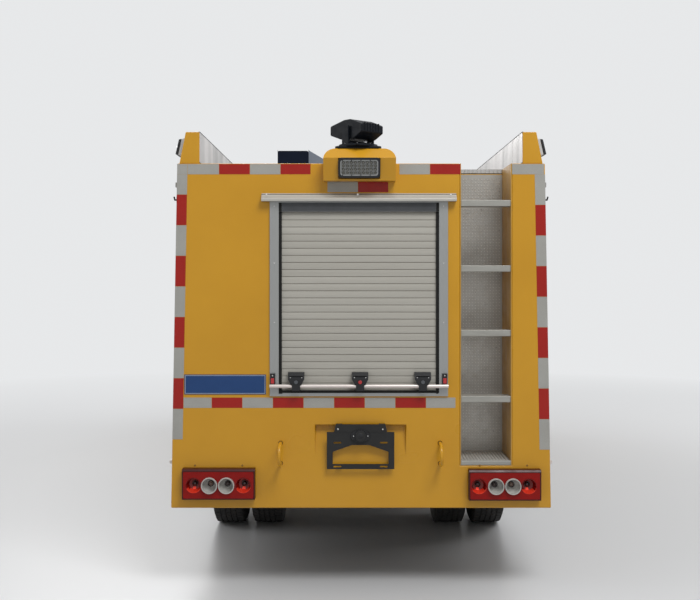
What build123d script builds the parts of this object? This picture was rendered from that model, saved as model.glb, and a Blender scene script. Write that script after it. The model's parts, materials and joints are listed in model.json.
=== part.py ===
from build123d import *

import os
from math import asin, cos, radians, sin

# Rescue truck with a crew cab and a box body, standing on its wheels.
# Millimetres. +Y is forward, +X the truck's right, +Z up. The origin is the middle of
# the truck's footprint, on the ground.

# Whole truck
wheelbase = 3360.0
front_overhang = 1092.5
rear_overhang = 1542.5
overall_length = front_overhang + wheelbase + rear_overhang
front_end_y = overall_length / 2
rear_end_y = -overall_length / 2
front_axle_y = front_end_y - front_overhang
rear_axle_y = rear_end_y + rear_overhang
bumper_reach = 67.5
tow_eye_reach = 107.5
cab_length = 2630.0
cab_body_gap = 70.0
cab_front_y = front_end_y - bumper_reach
cab_rear_y = cab_front_y - cab_length
body_front_y = cab_rear_y - cab_body_gap
body_rear_y = rear_end_y + tow_eye_reach
fit = 0.3
running_gap = 1.0
door_gap = 10.0

# Tyres and wheels
tyre_radius = 387.5
tyre_width = 200.0
tread_width = 168.0
shoulder_drop = 15.0
rim_radius = 203.0
rim_width = 144.0
rim_flange = 6.0
rim_flange_height = 19.0
rim_well_depth = 15.0
rim_wall = 8.0
wheel_offset = 116.0
hub_radius = 82.0
hub_reach = 42.0
hand_holes = 8
hand_hole_radius = 17.0
front_wheel_x = 700.0
rear_outer_wheel_x = 786.0
drum_radius = 150.0

# Axles, springs and kingpins
kingpin_x = 590.0
kingpin_radius = 16.0
kingpin_boss_radius = 35.0
kingpin_boss_height = 120.0
knuckle_ear = 23.0
spindle_radius = 25.0
backing_plate = 8.0
front_beam_height = 65.0
front_beam_width = 60.0
front_beam_top = 402.0
rear_tube_radius = 52.0
differential_radius = 150.0
pinion_reach = 70.0
pinion_radius = 62.0
leaf_width = 66.0
leaf_thickness = 10.0
front_spring_x = 320.0
rear_spring_x = 388.0

# Chassis frame
rail_outer_x = 350.0
rail_flange = 60.0
rail_bottom = 560.0
rail_top = 740.0
rail_web = 7.0
rail_rear_y = body_rear_y + 90.0
tilt_pivot_y = cab_front_y - 70.0
rail_front_y = tilt_pivot_y - 70.0
cross_member_depth = 40.0
cross_member_y = [
    rail_rear_y + cross_member_depth,
    rear_axle_y - 505.0,
    rear_axle_y + 555.0,
    body_front_y - 130.0,
    cab_rear_y + 440.0,
    rail_front_y - cross_member_depth,
]

# Cab tilt pivot, in front at the frame's height
tilt_pivot_z = 660.0
tilt_pin_radius = 12.0
tilt_bracket_radius = 24.0
tilt_arm_x = 358.0
tilt_arm_width = 14.0
tilt_arm_half = 22.0
tilt_arm_root = 60.0

# Cab
cab_half_width = 880.0
cab_top_half_width = 822.0
cab_bottom_z = 600.0
cab_belt_z = 1200.0
cab_roof_z = 2185.0
cab_screen_top_y = cab_front_y - 185.0
cab_screen_top_z = cab_roof_z - 110.0
cab_roof_drop_y = 110.0
cab_corner = 170.0
cab_rear_corner = 40.0
cab_roof_corner = 85.0
cab_wall = 46.0
cab_floor_z = 900.0
cab_floor_thickness = 40.0
cab_arch_radius = 470.0
hump_half_width = 325.0
hump_rear_y = front_axle_y - 455.0
hump_front_y = front_axle_y + 645.0
hump_top_z = 1150.0
hump_wall = 38.0
glass_depth = 14.0
glass_thickness = 6.0

# Windscreen: half widths at its bottom and top edges
screen_bottom_z = 1245.0
screen_top_z = 2015.0
screen_bottom_half = 785.0
screen_top_half = 740.0
window_corner = 60.0

# Doors, columns: front edge, front edge at the top, rear edge, bottom, top, window bottom
door_top_z = cab_roof_z - 115.0
door_sill_z = cab_belt_z + 70.0
door_pillar_front_y = front_axle_y - 295.0
door_pillar_rear_y = front_axle_y - 395.0
door_table = {
    "front": (
        cab_front_y - 280.0,
        cab_front_y - 370.0,
        door_pillar_front_y,
        cab_floor_z + 2.0,
        door_top_z,
        door_sill_z,
    ),
    "rear": (
        door_pillar_rear_y,
        door_pillar_rear_y,
        cab_rear_y + 130.0,
        cab_bottom_z + 122.0,
        door_top_z,
        door_sill_z,
    ),
}
window_frame = 62.0
door_corner = 45.0
hinge_radius = 9.0
hinge_pin_radius = 4.0
hinge_stand = 0.5
hinge_height = 22.0
hinge_leaf = 34.0
hinge_heights = {
    "front": (cab_floor_z + 60.0, cab_belt_z - 50.0),
    "rear": (cab_bottom_z + 200.0, cab_belt_z - 50.0),
}
door_floor_gap = 6.0

# Body shell
body_bottom_z = 400.0
body_top_z = 2090.0
body_top_half = 902.0
body_lean = 30.0
body_bottom_half = body_top_half + body_lean
body_wall = 44.0
body_inner_half = body_top_half - body_wall
rear_wall_thickness = 50.0
bulkhead_thickness = 40.0
deck_thickness = 20.0
floor_bottom_z = 860.0
floor_thickness = 30.0
bin_wall = 10.0
bin_inner_x = 430.0
bin_bottom_z = 520.0
bin_reach_y = 535.0
body_arch_radius = 455.0

# Side shutters, columns: rear edge, front edge, bottom, top of each opening
shutter_low_z = 570.0
shutter_over_arch_z = 960.0
shutter_top_z = 1930.0
side_shutters = [
    (body_rear_y + 120.0, rear_axle_y - 545.0, shutter_low_z, shutter_top_z),
    (rear_axle_y - 475.0, rear_axle_y + 475.0, shutter_over_arch_z, shutter_top_z),
    (rear_axle_y + 555.0, body_front_y - 90.0, shutter_low_z, shutter_top_z),
]

# Rear shutter opening and frame
rear_shutter_left = -403.0
rear_shutter_right = 382.0
rear_shutter_bottom = 978.0
rear_shutter_top = 1853.0
shutter_frame_width = 44.0
shutter_frame_height = 8.0
shutter_frame_foot = 29.0
shutter_head_height = 50.0
shutter_head_cover = 10.0
curtain_depth = 6.0
curtain_thickness = 12.0
curtain_tuck = 12.0
slat_pitch = 34.8
slat_groove = 4.0
slat_relief = 3.0
gutter_height = 40.0
gutter_reach = 34.0
gutter_lap = 40.0
side_gutter_height = 24.0
side_gutter_reach = 20.0
lift_bar_radius = 9.0
lift_bar_rise = 22.0
lift_bar_stand = 16.0
latch_width = 81.0
latch_strap = 40.0
latch_stand = 4.0
latch_top = 66.0
latch_shoulder = 18.0
latch_foot = 21.0
rear_latch_x = [-317.0, -5.0, 301.0]
side_latch_top = 50.0
side_latch_foot = 20.0
side_latch_share = 0.2

# Ladder recess in the rear wall
ladder_left = 490.0
ladder_right = 735.0
ladder_bottom = 610.0
ladder_top = 2066.0
ladder_depth = 280.0
ladder_sheet = 4.0
ladder_step_setback = 4.0
ladder_step_z = [918.0, 1242.0, 1559.0, 1880.0]
ladder_step_height = 31.0
ladder_step_depth = 84.0
ladder_foot_height = 22.0

# Roof parapets
parapet_foot_x = body_top_half - 10.0
parapet_inner_x = parapet_foot_x - 99.0
parapet_top_x = parapet_foot_x - 31.0
parapet_top_z = body_top_z + 155.0
parapet_rear_setback = 6.0
parapet_front_setback = 4.0

# Tail lamps
tail_lamp_outer = body_bottom_half - 52.0
tail_lamp_inner = tail_lamp_outer - 356.0
tail_lamp_bottom = 440.0
tail_lamp_top = 590.0
tail_lamp_depth = 42.0
tail_lamp_lip = 10.0
tail_lamp_lip_z = [26.0, 18.0]
tail_lamp_foot = 6.0
tail_lamp_top_depth = 8.0
tail_lens_x = [585.0, 666.0, 745.0, 825.0]
tail_lens_z = 510.0
tail_lens_radius = 37.5
tail_lens_depth = 14.0

# Plate recess and bracket
plate_pocket_left = -225.0
plate_pocket_right = 220.0
plate_pocket_bottom = 650.0
plate_pocket_top = 807.0
plate_pocket_depth = 34.0
plate_left = -167.0
plate_right = 162.0
plate_bottom = 596.0
plate_top = 777.0
plate_thickness = 4.0
plate_stand = 22.0
plate_slot_dx = 226.0
plate_slot_dz = 117.0
plate_slot_length = 38.0
plate_slot_width = 8.0
plate_slot_drop = 20.0
plate_flange_inset = 40.0
plate_flange_height = 26.0
plate_tab_width = 30.0
plate_tab_insets = [45.0, 75.0]
plate_tab_rise = 1.0
plate_tab_top = 38.0
plate_window_half = 136.0
plate_window_flat = 42.0
plate_window_foot = 45.5
plate_window_side = 14.0
plate_window_peak = 47.0
plate_lamp_radius = 25.0
plate_lamp_height = 26.0
plate_lamp_drop = 18.0

# Tow eyes
tow_eye_x = [-394.0, 387.0]
tow_eye_rod = 8.0
tow_eye_radius = 50.0
tow_eye_z = 670.0

# Lamp hood, rear work lamp and searchlight
hood_left = -184.0
hood_right = 168.0
hood_height = 158.0
hood_bottom = body_top_z - 90.0
hood_top = hood_bottom + hood_height
hood_crease_z = hood_top - 50.0
hood_front_y = body_rear_y - 88.0
hood_back_y = body_rear_y + 130.0
hood_foot_setback = 14.0
hood_top_setback = 46.0
hood_corner = 58.0
work_lamp_left = -111.0
work_lamp_right = 92.0
work_lamp_bottom = hood_bottom + 9.0
work_lamp_top = work_lamp_bottom + 97.0
work_lamp_face_y = hood_front_y - 12.0
work_lamp_body = 66.0
work_lamp_corner = 12.0
searchlight_x = -14.0
searchlight_y = body_rear_y + 28.0
searchlight_turn = 42.0
searchlight_base_width = 226.0
searchlight_base_depth = 150.0
searchlight_base_height = 12.0
searchlight_base_corner = 20.0
searchlight_neck_radius = 74.0
searchlight_neck_height = 12.0
searchlight_axis_z = hood_top + 92.0
searchlight_neck_flange = 22.0
searchlight_cheek_depth = 44.0
searchlight_cheek_rise = 20.0
searchlight_head_reach = 100.0
searchlight_head_edge = 9.0
searchlight_cheek_x = 78.0
searchlight_cheek_gap = 5.0
trunnion_radius = 9.0
trunnion_length = 14.0
searchlight_cheek = 10.0

# Flood lamps on the parapets
flood_bottom_z = body_top_z + 46.0
flood_top_z = flood_bottom_z + 85.0
flood_rear_y = body_rear_y + 40.0
flood_lower_chamfer = 4.0
flood_upper_chamfer = 8.0
flood_length = 190.0
flood_reach = 34.0

# Folding lamp mast on the roof
mast_x = -376.0
mast_pivot_y = body_rear_y + 930.0
mast_pivot_z = body_top_z + 115.0
mast_cheek_half = 88.0
mast_cheek = 12.0
mast_cheek_gap = 6.0
mast_box_depth = 70.0
mast_box_rise = 60.0
mast_foot_plate = 14.0
mast_flank_reach = 278.0
mast_tube = 60.0
mast_tube_wall = 4.0
mast_length = 1250.0
mast_tail = 60.0
mast_pin_radius = 14.0
mast_lamp_half_width = 215.0
mast_lamp_height = 130.0
mast_lamp_depth = 90.0

# Light bar on the cab's roof
light_bar_y = cab_front_y - 490.0
light_bar_half = 640.0
light_bar_depth = 230.0
light_bar_corner = 75.0
light_bar_stand = 28.0
light_bar_height = 118.0
light_bar_foot_x = 420.0
light_bar_foot_width = 80.0
light_bar_foot_depth = 40.0

# Front bumper
bumper_half_width = 925.0
bumper_bottom = 330.0
bumper_top = 545.0
bumper_wall = 60.0
bumper_side_y = cab_front_y - 310.0
bumper_corner = 150.0
bumper_bracket_length = 200.0
bumper_bracket_height = 75.0
bumper_bracket_drop = 5.0
bumper_hanger_length = 120.0

# Engine, gearbox and propeller shaft
engine_half_width = 270.0
engine_rear_y = front_axle_y - 275.0
engine_front_y = front_axle_y + 495.0
engine_bottom_z = 500.0
engine_top_z = 1040.0
gearbox_half_width = 150.0
gearbox_waist_y = engine_rear_y - 310.0
gearbox_rear_y = engine_rear_y - 480.0
gearbox_front_z = (520.0, 850.0)
gearbox_waist_z = 760.0
gearbox_rear_z = (540.0, 720.0)
shaft_radius = 36.0
shaft_front_z = 620.0
engine_feet_y = [front_axle_y - 145.0, front_axle_y + 375.0]

# Fuel tank and exhaust
tank_half_width = 270.0
tank_rear_y = body_rear_y + 210.0
tank_length = 660.0
tank_bottom_z = 430.0
tank_top_z = 640.0
tank_corner = 45.0
strap_half_width = 25.0
strap_inset = 160.0
strap_thickness = 18.0
exhaust_x = -185.0
exhaust_z = 470.0
exhaust_front_z = 560.0
exhaust_outlet_z = 450.0
exhaust_radius = 32.0
silencer_radius = 95.0
silencer_front_y = cab_rear_y + 550.0
silencer_length = 700.0
exhaust_bend_y = rear_axle_y + 1125.0
exhaust_outlet_x = -840.0
exhaust_hanger_y = silencer_front_y - 350.0

# Cab front: headlamps, grille and mirrors
headlamp_inner_x = 545.0
headlamp_outer_x = 850.0
headlamp_inner_z = (715.0, 860.0)
headlamp_outer_z = (700.0, 880.0)
headlamp_reach = 24.0
headlamp_depth = 150.0
grille_half_width = 520.0
grille_bottom_z = 740.0
grille_top_z = 1080.0
grille_depth = 22.0
grille_slots = 5
grille_slot_pitch = 60.0
grille_slot_height = 40.0
grille_border = 25.0
grille_back = 8.0
mirror_post_y = cab_front_y - 60.0
mirror_post_x = 1030.0
mirror_low_foot = (850.0, cab_front_y - 100.0, cab_belt_z + 28.0)
mirror_high_foot = (815.0, cab_front_y - 230.0, cab_roof_z - 359.0)
mirror_post_z = (1290.0, 1870.0)
mirror_arm_z = (1320.0, 1850.0)
mirror_arm_radius = 9.0
mirror_head_x = (950.0, 1120.0)
mirror_head_z = (1420.0, 1760.0)
mirror_head_depth = 40.0
mirror_clamp_half = 20.0
mirror_clamp_z = (1480.0, 1700.0)

# Inside the cab
dash_half_width = 720.0
dash_front_y = cab_front_y - 70.0
dash_knee_y = cab_front_y - 345.0
steering_x = 520.0
steering_y = cab_front_y - 490.0
steering_z = cab_belt_z + 250.0
steering_radius = 195.0
steering_rim = 14.0
steering_spoke = 34.0
steering_column = 24.0
steering_column_length = 330.0
steering_boss_radius = 46.0
steering_boss_height = 40.0
seat_back_top = 1900.0
seat_back_depth = 130.0
seat_cushion = 120.0
seat_back_overlap = 100.0
seat_rear_y = front_axle_y - 265.0
seat_top_z = 1290.0
seat_base_inset = 20.0
seat_base_setback = 30.0
bench_half_width = 745.0
bench_base_front_y = cab_rear_y + 680.0
bench_front_y = cab_rear_y + 710.0
bench_back_y = cab_rear_y + 180.0
bench_seat_z = (1200.0, 1320.0)


def block(x, y, z, mode=Mode.ADD):
    """Add a box between two values on each axis to the open part."""
    with Locations(((x[0] + x[1]) / 2, (y[0] + y[1]) / 2, (z[0] + z[1]) / 2)):
        Box(abs(x[1] - x[0]), abs(y[1] - y[0]), abs(z[1] - z[0]), mode=mode)


def prism(plane, points, length, mode=Mode.ADD, corner=0.0):
    """Extrude a polygon from a plane, its corners rounded."""
    with BuildSketch(plane) as outline:
        with BuildLine():
            Polyline(*points, close=True)
        make_face()
        if corner:
            fillet(outline.vertices(), corner)
    extrude(outline.sketch, amount=length, mode=mode)


def prism_x(points, x0, x1, mode=Mode.ADD, corner=0.0):
    """Extrude a (y, z) polygon from x0 to x1."""
    prism(Plane.YZ.offset(x0), points, x1 - x0, mode, corner)


def prism_y(points, y0, y1, mode=Mode.ADD, corner=0.0):
    """Extrude an (x, z) polygon from y0 to y1."""
    prism(Plane.XZ.offset(-y1), points, y1 - y0, mode, corner)


def rod(start, end, radius, mode=Mode.ADD):
    """Add a round rod between two points to the open part."""
    axis = Vector(*end) - Vector(*start)
    with BuildSketch(Plane(origin=start, z_dir=axis)) as outline:
        Circle(radius)
    extrude(outline.sketch, amount=axis.length, mode=mode)


def ring_x(points, centre, mode=Mode.ADD):
    """Turn an (x, radius) polygon about the X axis through a centre."""
    plane = Plane(origin=centre, x_dir=(1, 0, 0), z_dir=(0, -1, 0))
    with BuildSketch(plane) as outline:
        with BuildLine():
            Polyline(*points, close=True)
        make_face()
    revolve(outline.sketch, axis=Axis(centre, (1, 0, 0)), mode=mode)


def finish(builder, name):
    """Label a finished piece and write it."""
    builder.part.label = name
    export_step(builder.part, f"parts/{name}.step")


def side_name(side):
    return "right" if side > 0 else "left"


os.makedirs("parts", exist_ok=True)

# Tyres. Their bead sits between the rim's flanges.


def add_tyre(centre):
    bead = rim_width / 2 - fit
    half = tyre_width / 2
    seat = rim_radius + fit
    shoulder = tyre_radius - shoulder_drop
    plane = Plane(origin=centre, x_dir=(1, 0, 0), z_dir=(0, -1, 0))
    belly = (rim_radius + shoulder) / 2
    with BuildSketch(plane) as outline:
        with BuildLine():
            Line((-bead, seat), (-bead, seat + rim_flange_height + 3))
            ThreePointArc(
                (-bead, seat + rim_flange_height + 3),
                (-half, belly),
                (-half * 0.94, shoulder - 14),
            )
            Line((-half * 0.94, shoulder - 14), (-tread_width / 2, shoulder))
            ThreePointArc(
                (-tread_width / 2, shoulder), (0, tyre_radius), (tread_width / 2, shoulder)
            )
            Line((tread_width / 2, shoulder), (half * 0.94, shoulder - 14))
            ThreePointArc(
                (half * 0.94, shoulder - 14),
                (half, belly),
                (bead, seat + rim_flange_height + 3),
            )
            Line((bead, seat + rim_flange_height + 3), (bead, seat))
            Line((bead, seat), (-bead, seat))
        make_face()
    revolve(outline.sketch, axis=Axis(centre, (1, 0, 0)))


def add_rim(centre, out):
    """One pressed wheel. Its disc bulges towards out, which is +1 or -1 along X."""
    edge = rim_width / 2 + rim_flange
    seat = rim_width / 2
    well = rim_width * 0.2
    deep = rim_radius - rim_well_depth
    ring_x(
        [
            (-edge, rim_radius + rim_flange_height),
            (-seat, rim_radius + rim_flange_height),
            (-seat, rim_radius),
            (-well - rim_well_depth, rim_radius),
            (-well, deep),
            (well, deep),
            (well + rim_well_depth, rim_radius),
            (seat, rim_radius),
            (seat, rim_radius + rim_flange_height),
            (edge, rim_radius + rim_flange_height),
            (edge, rim_radius - rim_wall),
            (well + rim_well_depth, rim_radius - rim_wall),
            (well, deep - rim_wall),
            (-well, deep - rim_wall),
            (-well - rim_well_depth, rim_radius - rim_wall),
            (-edge, rim_radius - rim_wall),
        ],
        centre,
    )
    rim_bore = deep - rim_wall / 2
    face = wheel_offset * out
    ring_x(
        [
            (well * out, rim_bore),
            ((wheel_offset - 42) * out, rim_bore - 24),
            ((wheel_offset - 8) * out, rim_bore - 48),
            (face, rim_bore - 56),
            (face, hub_radius - 2),
            (face - 9 * out, hub_radius - 2),
            (face - 9 * out, rim_bore - 60),
            ((wheel_offset - 52) * out, rim_bore - 31),
            ((well - 12) * out, rim_bore - 10),
            ((well - 12) * out, rim_bore),
        ],
        centre,
    )
    hole_x = centre[0] + (wheel_offset - 25) * out
    with Locations(Plane(origin=(hole_x, centre[1], centre[2]), z_dir=(1, 0, 0))):
        with PolarLocations(rim_bore - 34, hand_holes):
            Cylinder(hand_hole_radius, 90, mode=Mode.SUBTRACT)


for side in (-1, 1):
    hub = Vector(side * front_wheel_x, front_axle_y, tyre_radius)
    with BuildPart() as front_tyre:
        add_tyre(tuple(hub))
    finish(front_tyre, f"front_{side_name(side)}_tyre")

    drum_inner = kingpin_x + kingpin_boss_radius + 36
    with BuildPart() as front_wheel:
        add_rim(tuple(hub), side)
        hub_face = front_wheel_x + wheel_offset
        rod(
            (side * (drum_inner + 10), front_axle_y, tyre_radius),
            (side * (hub_face + hub_reach), front_axle_y, tyre_radius),
            hub_radius,
        )
        rod(
            (side * drum_inner, front_axle_y, tyre_radius),
            (side * (drum_inner + 60), front_axle_y, tyre_radius),
            drum_radius,
        )
        rod(
            (side * drum_inner, front_axle_y, tyre_radius),
            (side * (hub_face + 10), front_axle_y, tyre_radius),
            spindle_radius + running_gap,
            Mode.SUBTRACT,
        )
    finish(front_wheel, f"front_{side_name(side)}_wheel")

    # Knuckle: two ears about the axle's boss, the kingpin, the backing plate and spindle
    ear_bottom = kingpin_boss_height / 2 + running_gap
    ear_top = ear_bottom + knuckle_ear
    plate_x = kingpin_x + kingpin_boss_radius + 12
    with BuildPart() as knuckle:
        for up in (-1, 1):
            rod(
                (side * kingpin_x, front_axle_y, tyre_radius + up * ear_bottom),
                (side * kingpin_x, front_axle_y, tyre_radius + up * ear_top),
                kingpin_boss_radius,
            )
            block(
                (side * kingpin_x, side * plate_x),
                (front_axle_y - 26, front_axle_y + 26),
                (tyre_radius + up * ear_bottom, tyre_radius + up * ear_top),
            )
        rod(
            (side * kingpin_x, front_axle_y, tyre_radius - ear_top),
            (side * kingpin_x, front_axle_y, tyre_radius + ear_top),
            kingpin_radius,
        )
        block(
            (side * (plate_x - 6), side * (plate_x + 8)),
            (front_axle_y - 34, front_axle_y + 34),
            (tyre_radius - ear_top, tyre_radius + ear_top),
        )
        rod(
            (side * (plate_x + 4), front_axle_y, tyre_radius),
            (side * (plate_x + 4 + backing_plate), front_axle_y, tyre_radius),
            drum_radius + 4,
        )
        rod(
            (side * plate_x, front_axle_y, tyre_radius),
            (side * (front_wheel_x + wheel_offset), front_axle_y, tyre_radius),
            spindle_radius,
        )
    finish(knuckle, f"front_{side_name(side)}_knuckle")

    # Twin rear wheels, their discs bolted together at the mating face
    mating_x = rear_outer_wheel_x - wheel_offset
    inner_x = mating_x - wheel_offset
    with BuildPart() as rear_tyres:
        add_tyre((side * rear_outer_wheel_x, rear_axle_y, tyre_radius))
        add_tyre((side * inner_x, rear_axle_y, tyre_radius))
    finish(rear_tyres, f"rear_{side_name(side)}_tyres")

    rear_drum_x = inner_x - rim_width / 2
    with BuildPart() as rear_wheels:
        add_rim((side * rear_outer_wheel_x, rear_axle_y, tyre_radius), -side)
        add_rim((side * inner_x, rear_axle_y, tyre_radius), side)
        rod(
            (side * (rear_drum_x + 20), rear_axle_y, tyre_radius),
            (side * (mating_x + hub_reach + 40), rear_axle_y, tyre_radius),
            hub_radius,
        )
        rod(
            (side * rear_drum_x, rear_axle_y, tyre_radius),
            (side * (rear_drum_x + 90), rear_axle_y, tyre_radius),
            drum_radius,
        )
        rod(
            (side * rear_drum_x, rear_axle_y, tyre_radius),
            (side * (mating_x + 10), rear_axle_y, tyre_radius),
            spindle_radius + running_gap,
            Mode.SUBTRACT,
        )
    finish(rear_wheels, f"rear_{side_name(side)}_wheels")

# Front axle: a dropped beam with a boss for each kingpin
with BuildPart() as front_axle:
    beam_bottom = front_beam_top - front_beam_height
    boss_edge = kingpin_x - kingpin_boss_radius * 0.8
    prism_y(
        [
            (-boss_edge, tyre_radius + 35),
            (-boss_edge + 70, front_beam_top),
            (boss_edge - 70, front_beam_top),
            (boss_edge, tyre_radius + 35),
            (boss_edge, tyre_radius - 40),
            (boss_edge - 80, beam_bottom),
            (-boss_edge + 80, beam_bottom),
            (-boss_edge, tyre_radius - 40),
        ],
        front_axle_y - front_beam_width / 2,
        front_axle_y + front_beam_width / 2,
    )
    for side in (-1, 1):
        foot = (side * kingpin_x, front_axle_y, tyre_radius - kingpin_boss_height / 2)
        head = (side * kingpin_x, front_axle_y, tyre_radius + kingpin_boss_height / 2)
        rod(foot, head, kingpin_boss_radius)
        rod(foot, head, kingpin_radius + running_gap / 2, Mode.SUBTRACT)
finish(front_axle, "front_axle")

# Rear axle: tubes, differential and the stubs on which the hubs run
with BuildPart() as rear_axle:
    rear_plate_x = rear_outer_wheel_x - 2 * wheel_offset - rim_width / 2 - 6
    rod(
        (-rear_plate_x, rear_axle_y, tyre_radius),
        (rear_plate_x, rear_axle_y, tyre_radius),
        rear_tube_radius,
    )
    with Locations((0, rear_axle_y, tyre_radius)):
        Sphere(differential_radius)
    rod(
        (0, rear_axle_y, tyre_radius),
        (0, rear_axle_y + differential_radius + pinion_reach, tyre_radius),
        pinion_radius,
    )
    for side in (-1, 1):
        rod(
            (side * (rear_plate_x - backing_plate), rear_axle_y, tyre_radius),
            (side * rear_plate_x, rear_axle_y, tyre_radius),
            drum_radius + 4,
        )
        rod(
            (side * (rear_plate_x - 4), rear_axle_y, tyre_radius),
            (side * (rear_outer_wheel_x - wheel_offset), rear_axle_y, tyre_radius),
            spindle_radius,
        )
        block(
            (side * (rear_spring_x - 33), side * (rear_spring_x + 33)),
            (rear_axle_y - 45, rear_axle_y + 45),
            (tyre_radius, tyre_radius + rear_tube_radius + 8),
        )
finish(rear_axle, "rear_axle")

# Leaf springs, columns: x, axle's y, seat height, radius of the curve, hanger x
rear_seat_z = tyre_radius + rear_tube_radius + 8
spring_table = [
    (front_spring_x, front_axle_y, front_beam_top, 2600.0),
    (rear_spring_x, rear_axle_y, rear_seat_z, 4600.0),
]
leaf_half_lengths = [590.0, 460.0, 330.0, 200.0]


def leaf_end(radius, half, centre_z):
    turn = asin(half / radius)
    return (radius * sin(turn), centre_z - radius * cos(turn))


with BuildPart() as leaf_springs:
    for spring_x, axle_y, seat_z, bow in spring_table:
        leaves = len(leaf_half_lengths)
        centre_z = seat_z + leaves * leaf_thickness + bow
        for side in (-1, 1):
            for index, half in enumerate(leaf_half_lengths):
                inside = bow + index * leaf_thickness
                outside = inside + leaf_thickness
                near_y, near_z = leaf_end(inside, half, centre_z)
                far_y, far_z = leaf_end(outside, half, centre_z)
                plane = Plane.YZ.offset(side * spring_x - leaf_width / 2)
                with BuildSketch(plane) as leaf:
                    with BuildLine():
                        ThreePointArc(
                            (axle_y - near_y, near_z),
                            (axle_y, centre_z - inside),
                            (axle_y + near_y, near_z),
                        )
                        Line((axle_y + near_y, near_z), (axle_y + far_y, far_z))
                        ThreePointArc(
                            (axle_y + far_y, far_z),
                            (axle_y, centre_z - outside),
                            (axle_y - far_y, far_z),
                        )
                        Line((axle_y - far_y, far_z), (axle_y - near_y, near_z))
                    make_face()
                extrude(leaf.sketch, amount=leaf_width)
            eye_y, eye_z = leaf_end(bow, leaf_half_lengths[0], centre_z)
            for end in (-1, 1):
                rod(
                    (side * spring_x - leaf_width / 2, axle_y + end * eye_y, eye_z - 6),
                    (side * spring_x + leaf_width / 2, axle_y + end * eye_y, eye_z - 6),
                    19,
                )
finish(leaf_springs, "leaf_springs")

# Chassis frame: two channel rails, cross members, spring hangers and tilt brackets
with BuildPart() as chassis_frame:
    for side in (-1, 1):
        prism_y(
            [
                (side * rail_outer_x, rail_bottom),
                (side * rail_outer_x, rail_top),
                (side * (rail_outer_x - rail_flange), rail_top),
                (side * (rail_outer_x - rail_flange), rail_top - rail_web),
                (side * (rail_outer_x - rail_web), rail_top - rail_web),
                (side * (rail_outer_x - rail_web), rail_bottom + rail_web),
                (side * (rail_outer_x - rail_flange), rail_bottom + rail_web),
                (side * (rail_outer_x - rail_flange), rail_bottom),
            ],
            rail_rear_y,
            rail_front_y,
        )
        for spring_x, axle_y, seat_z, bow in spring_table:
            centre_z = seat_z + len(leaf_half_lengths) * leaf_thickness + bow
            eye_y, eye_z = leaf_end(bow, leaf_half_lengths[0], centre_z)
            hanger_x = min(spring_x - leaf_width / 2, rail_outer_x - rail_flange)
            reach_x = max(spring_x + leaf_width / 2, rail_outer_x)
            for end in (-1, 1):
                block(
                    (side * hanger_x, side * reach_x),
                    (axle_y + end * eye_y - 20, axle_y + end * eye_y + 20),
                    (eye_z + 13 + fit, rail_bottom + rail_web),
                )
        block(
            (side * (rail_outer_x - rail_flange), side * rail_outer_x),
            (rail_front_y - 60, tilt_pivot_y),
            (tilt_pivot_z - tilt_bracket_radius, tilt_pivot_z + tilt_bracket_radius),
        )
        rod(
            (side * (rail_outer_x - rail_flange), tilt_pivot_y, tilt_pivot_z),
            (side * rail_outer_x, tilt_pivot_y, tilt_pivot_z),
            tilt_bracket_radius,
        )
        rod(
            (side * (rail_outer_x - 10), tilt_pivot_y, tilt_pivot_z),
            (side * (tilt_arm_x + tilt_arm_width + 4), tilt_pivot_y, tilt_pivot_z),
            tilt_pin_radius,
        )
    for member_y in cross_member_y:
        block(
            (-rail_outer_x + rail_web / 2, rail_outer_x - rail_web / 2),
            (member_y - cross_member_depth / 2, member_y + cross_member_depth / 2),
            (rail_bottom + 85, rail_top - 20),
        )
finish(chassis_frame, "chassis_frame")

# Engine, gearbox and propeller shaft
with BuildPart() as driveline:
    block(
        (-engine_half_width, engine_half_width),
        (engine_rear_y, engine_front_y),
        (engine_bottom_z, engine_top_z),
    )
    prism_x(
        [
            (engine_rear_y + 10, gearbox_front_z[0]),
            (engine_rear_y + 10, gearbox_front_z[1]),
            (gearbox_waist_y, gearbox_waist_z),
            (gearbox_rear_y, gearbox_rear_z[1]),
            (gearbox_rear_y, gearbox_rear_z[0]),
        ],
        -gearbox_half_width,
        gearbox_half_width,
    )
    rod(
        (0, gearbox_rear_y + 10, shaft_front_z),
        (0, rear_axle_y + differential_radius + pinion_reach + 4, tyre_radius),
        shaft_radius,
    )
    for foot_y in engine_feet_y:
        block(
            (-rail_outer_x + rail_web, rail_outer_x - rail_web),
            (foot_y - 30, foot_y + 30),
            (rail_bottom + 60, rail_bottom + 90),
        )
finish(driveline, "engine_and_driveline")

# Fuel tank between the rails, hung from the frame by two straps
with BuildPart() as fuel_tank:
    tank_front_y = tank_rear_y + tank_length
    block(
        (-tank_half_width, tank_half_width),
        (tank_rear_y, tank_front_y),
        (tank_bottom_z, tank_top_z),
    )
    fillet(fuel_tank.edges().filter_by(Axis.Y), tank_corner)
    for strap_y in (tank_rear_y + strap_inset, tank_front_y - strap_inset):
        block(
            (-rail_outer_x + rail_web + fit, rail_outer_x - rail_web - fit),
            (strap_y - strap_half_width, strap_y + strap_half_width),
            (tank_top_z - 40, tank_top_z - 40 + strap_thickness),
        )
finish(fuel_tank, "fuel_tank")

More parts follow.
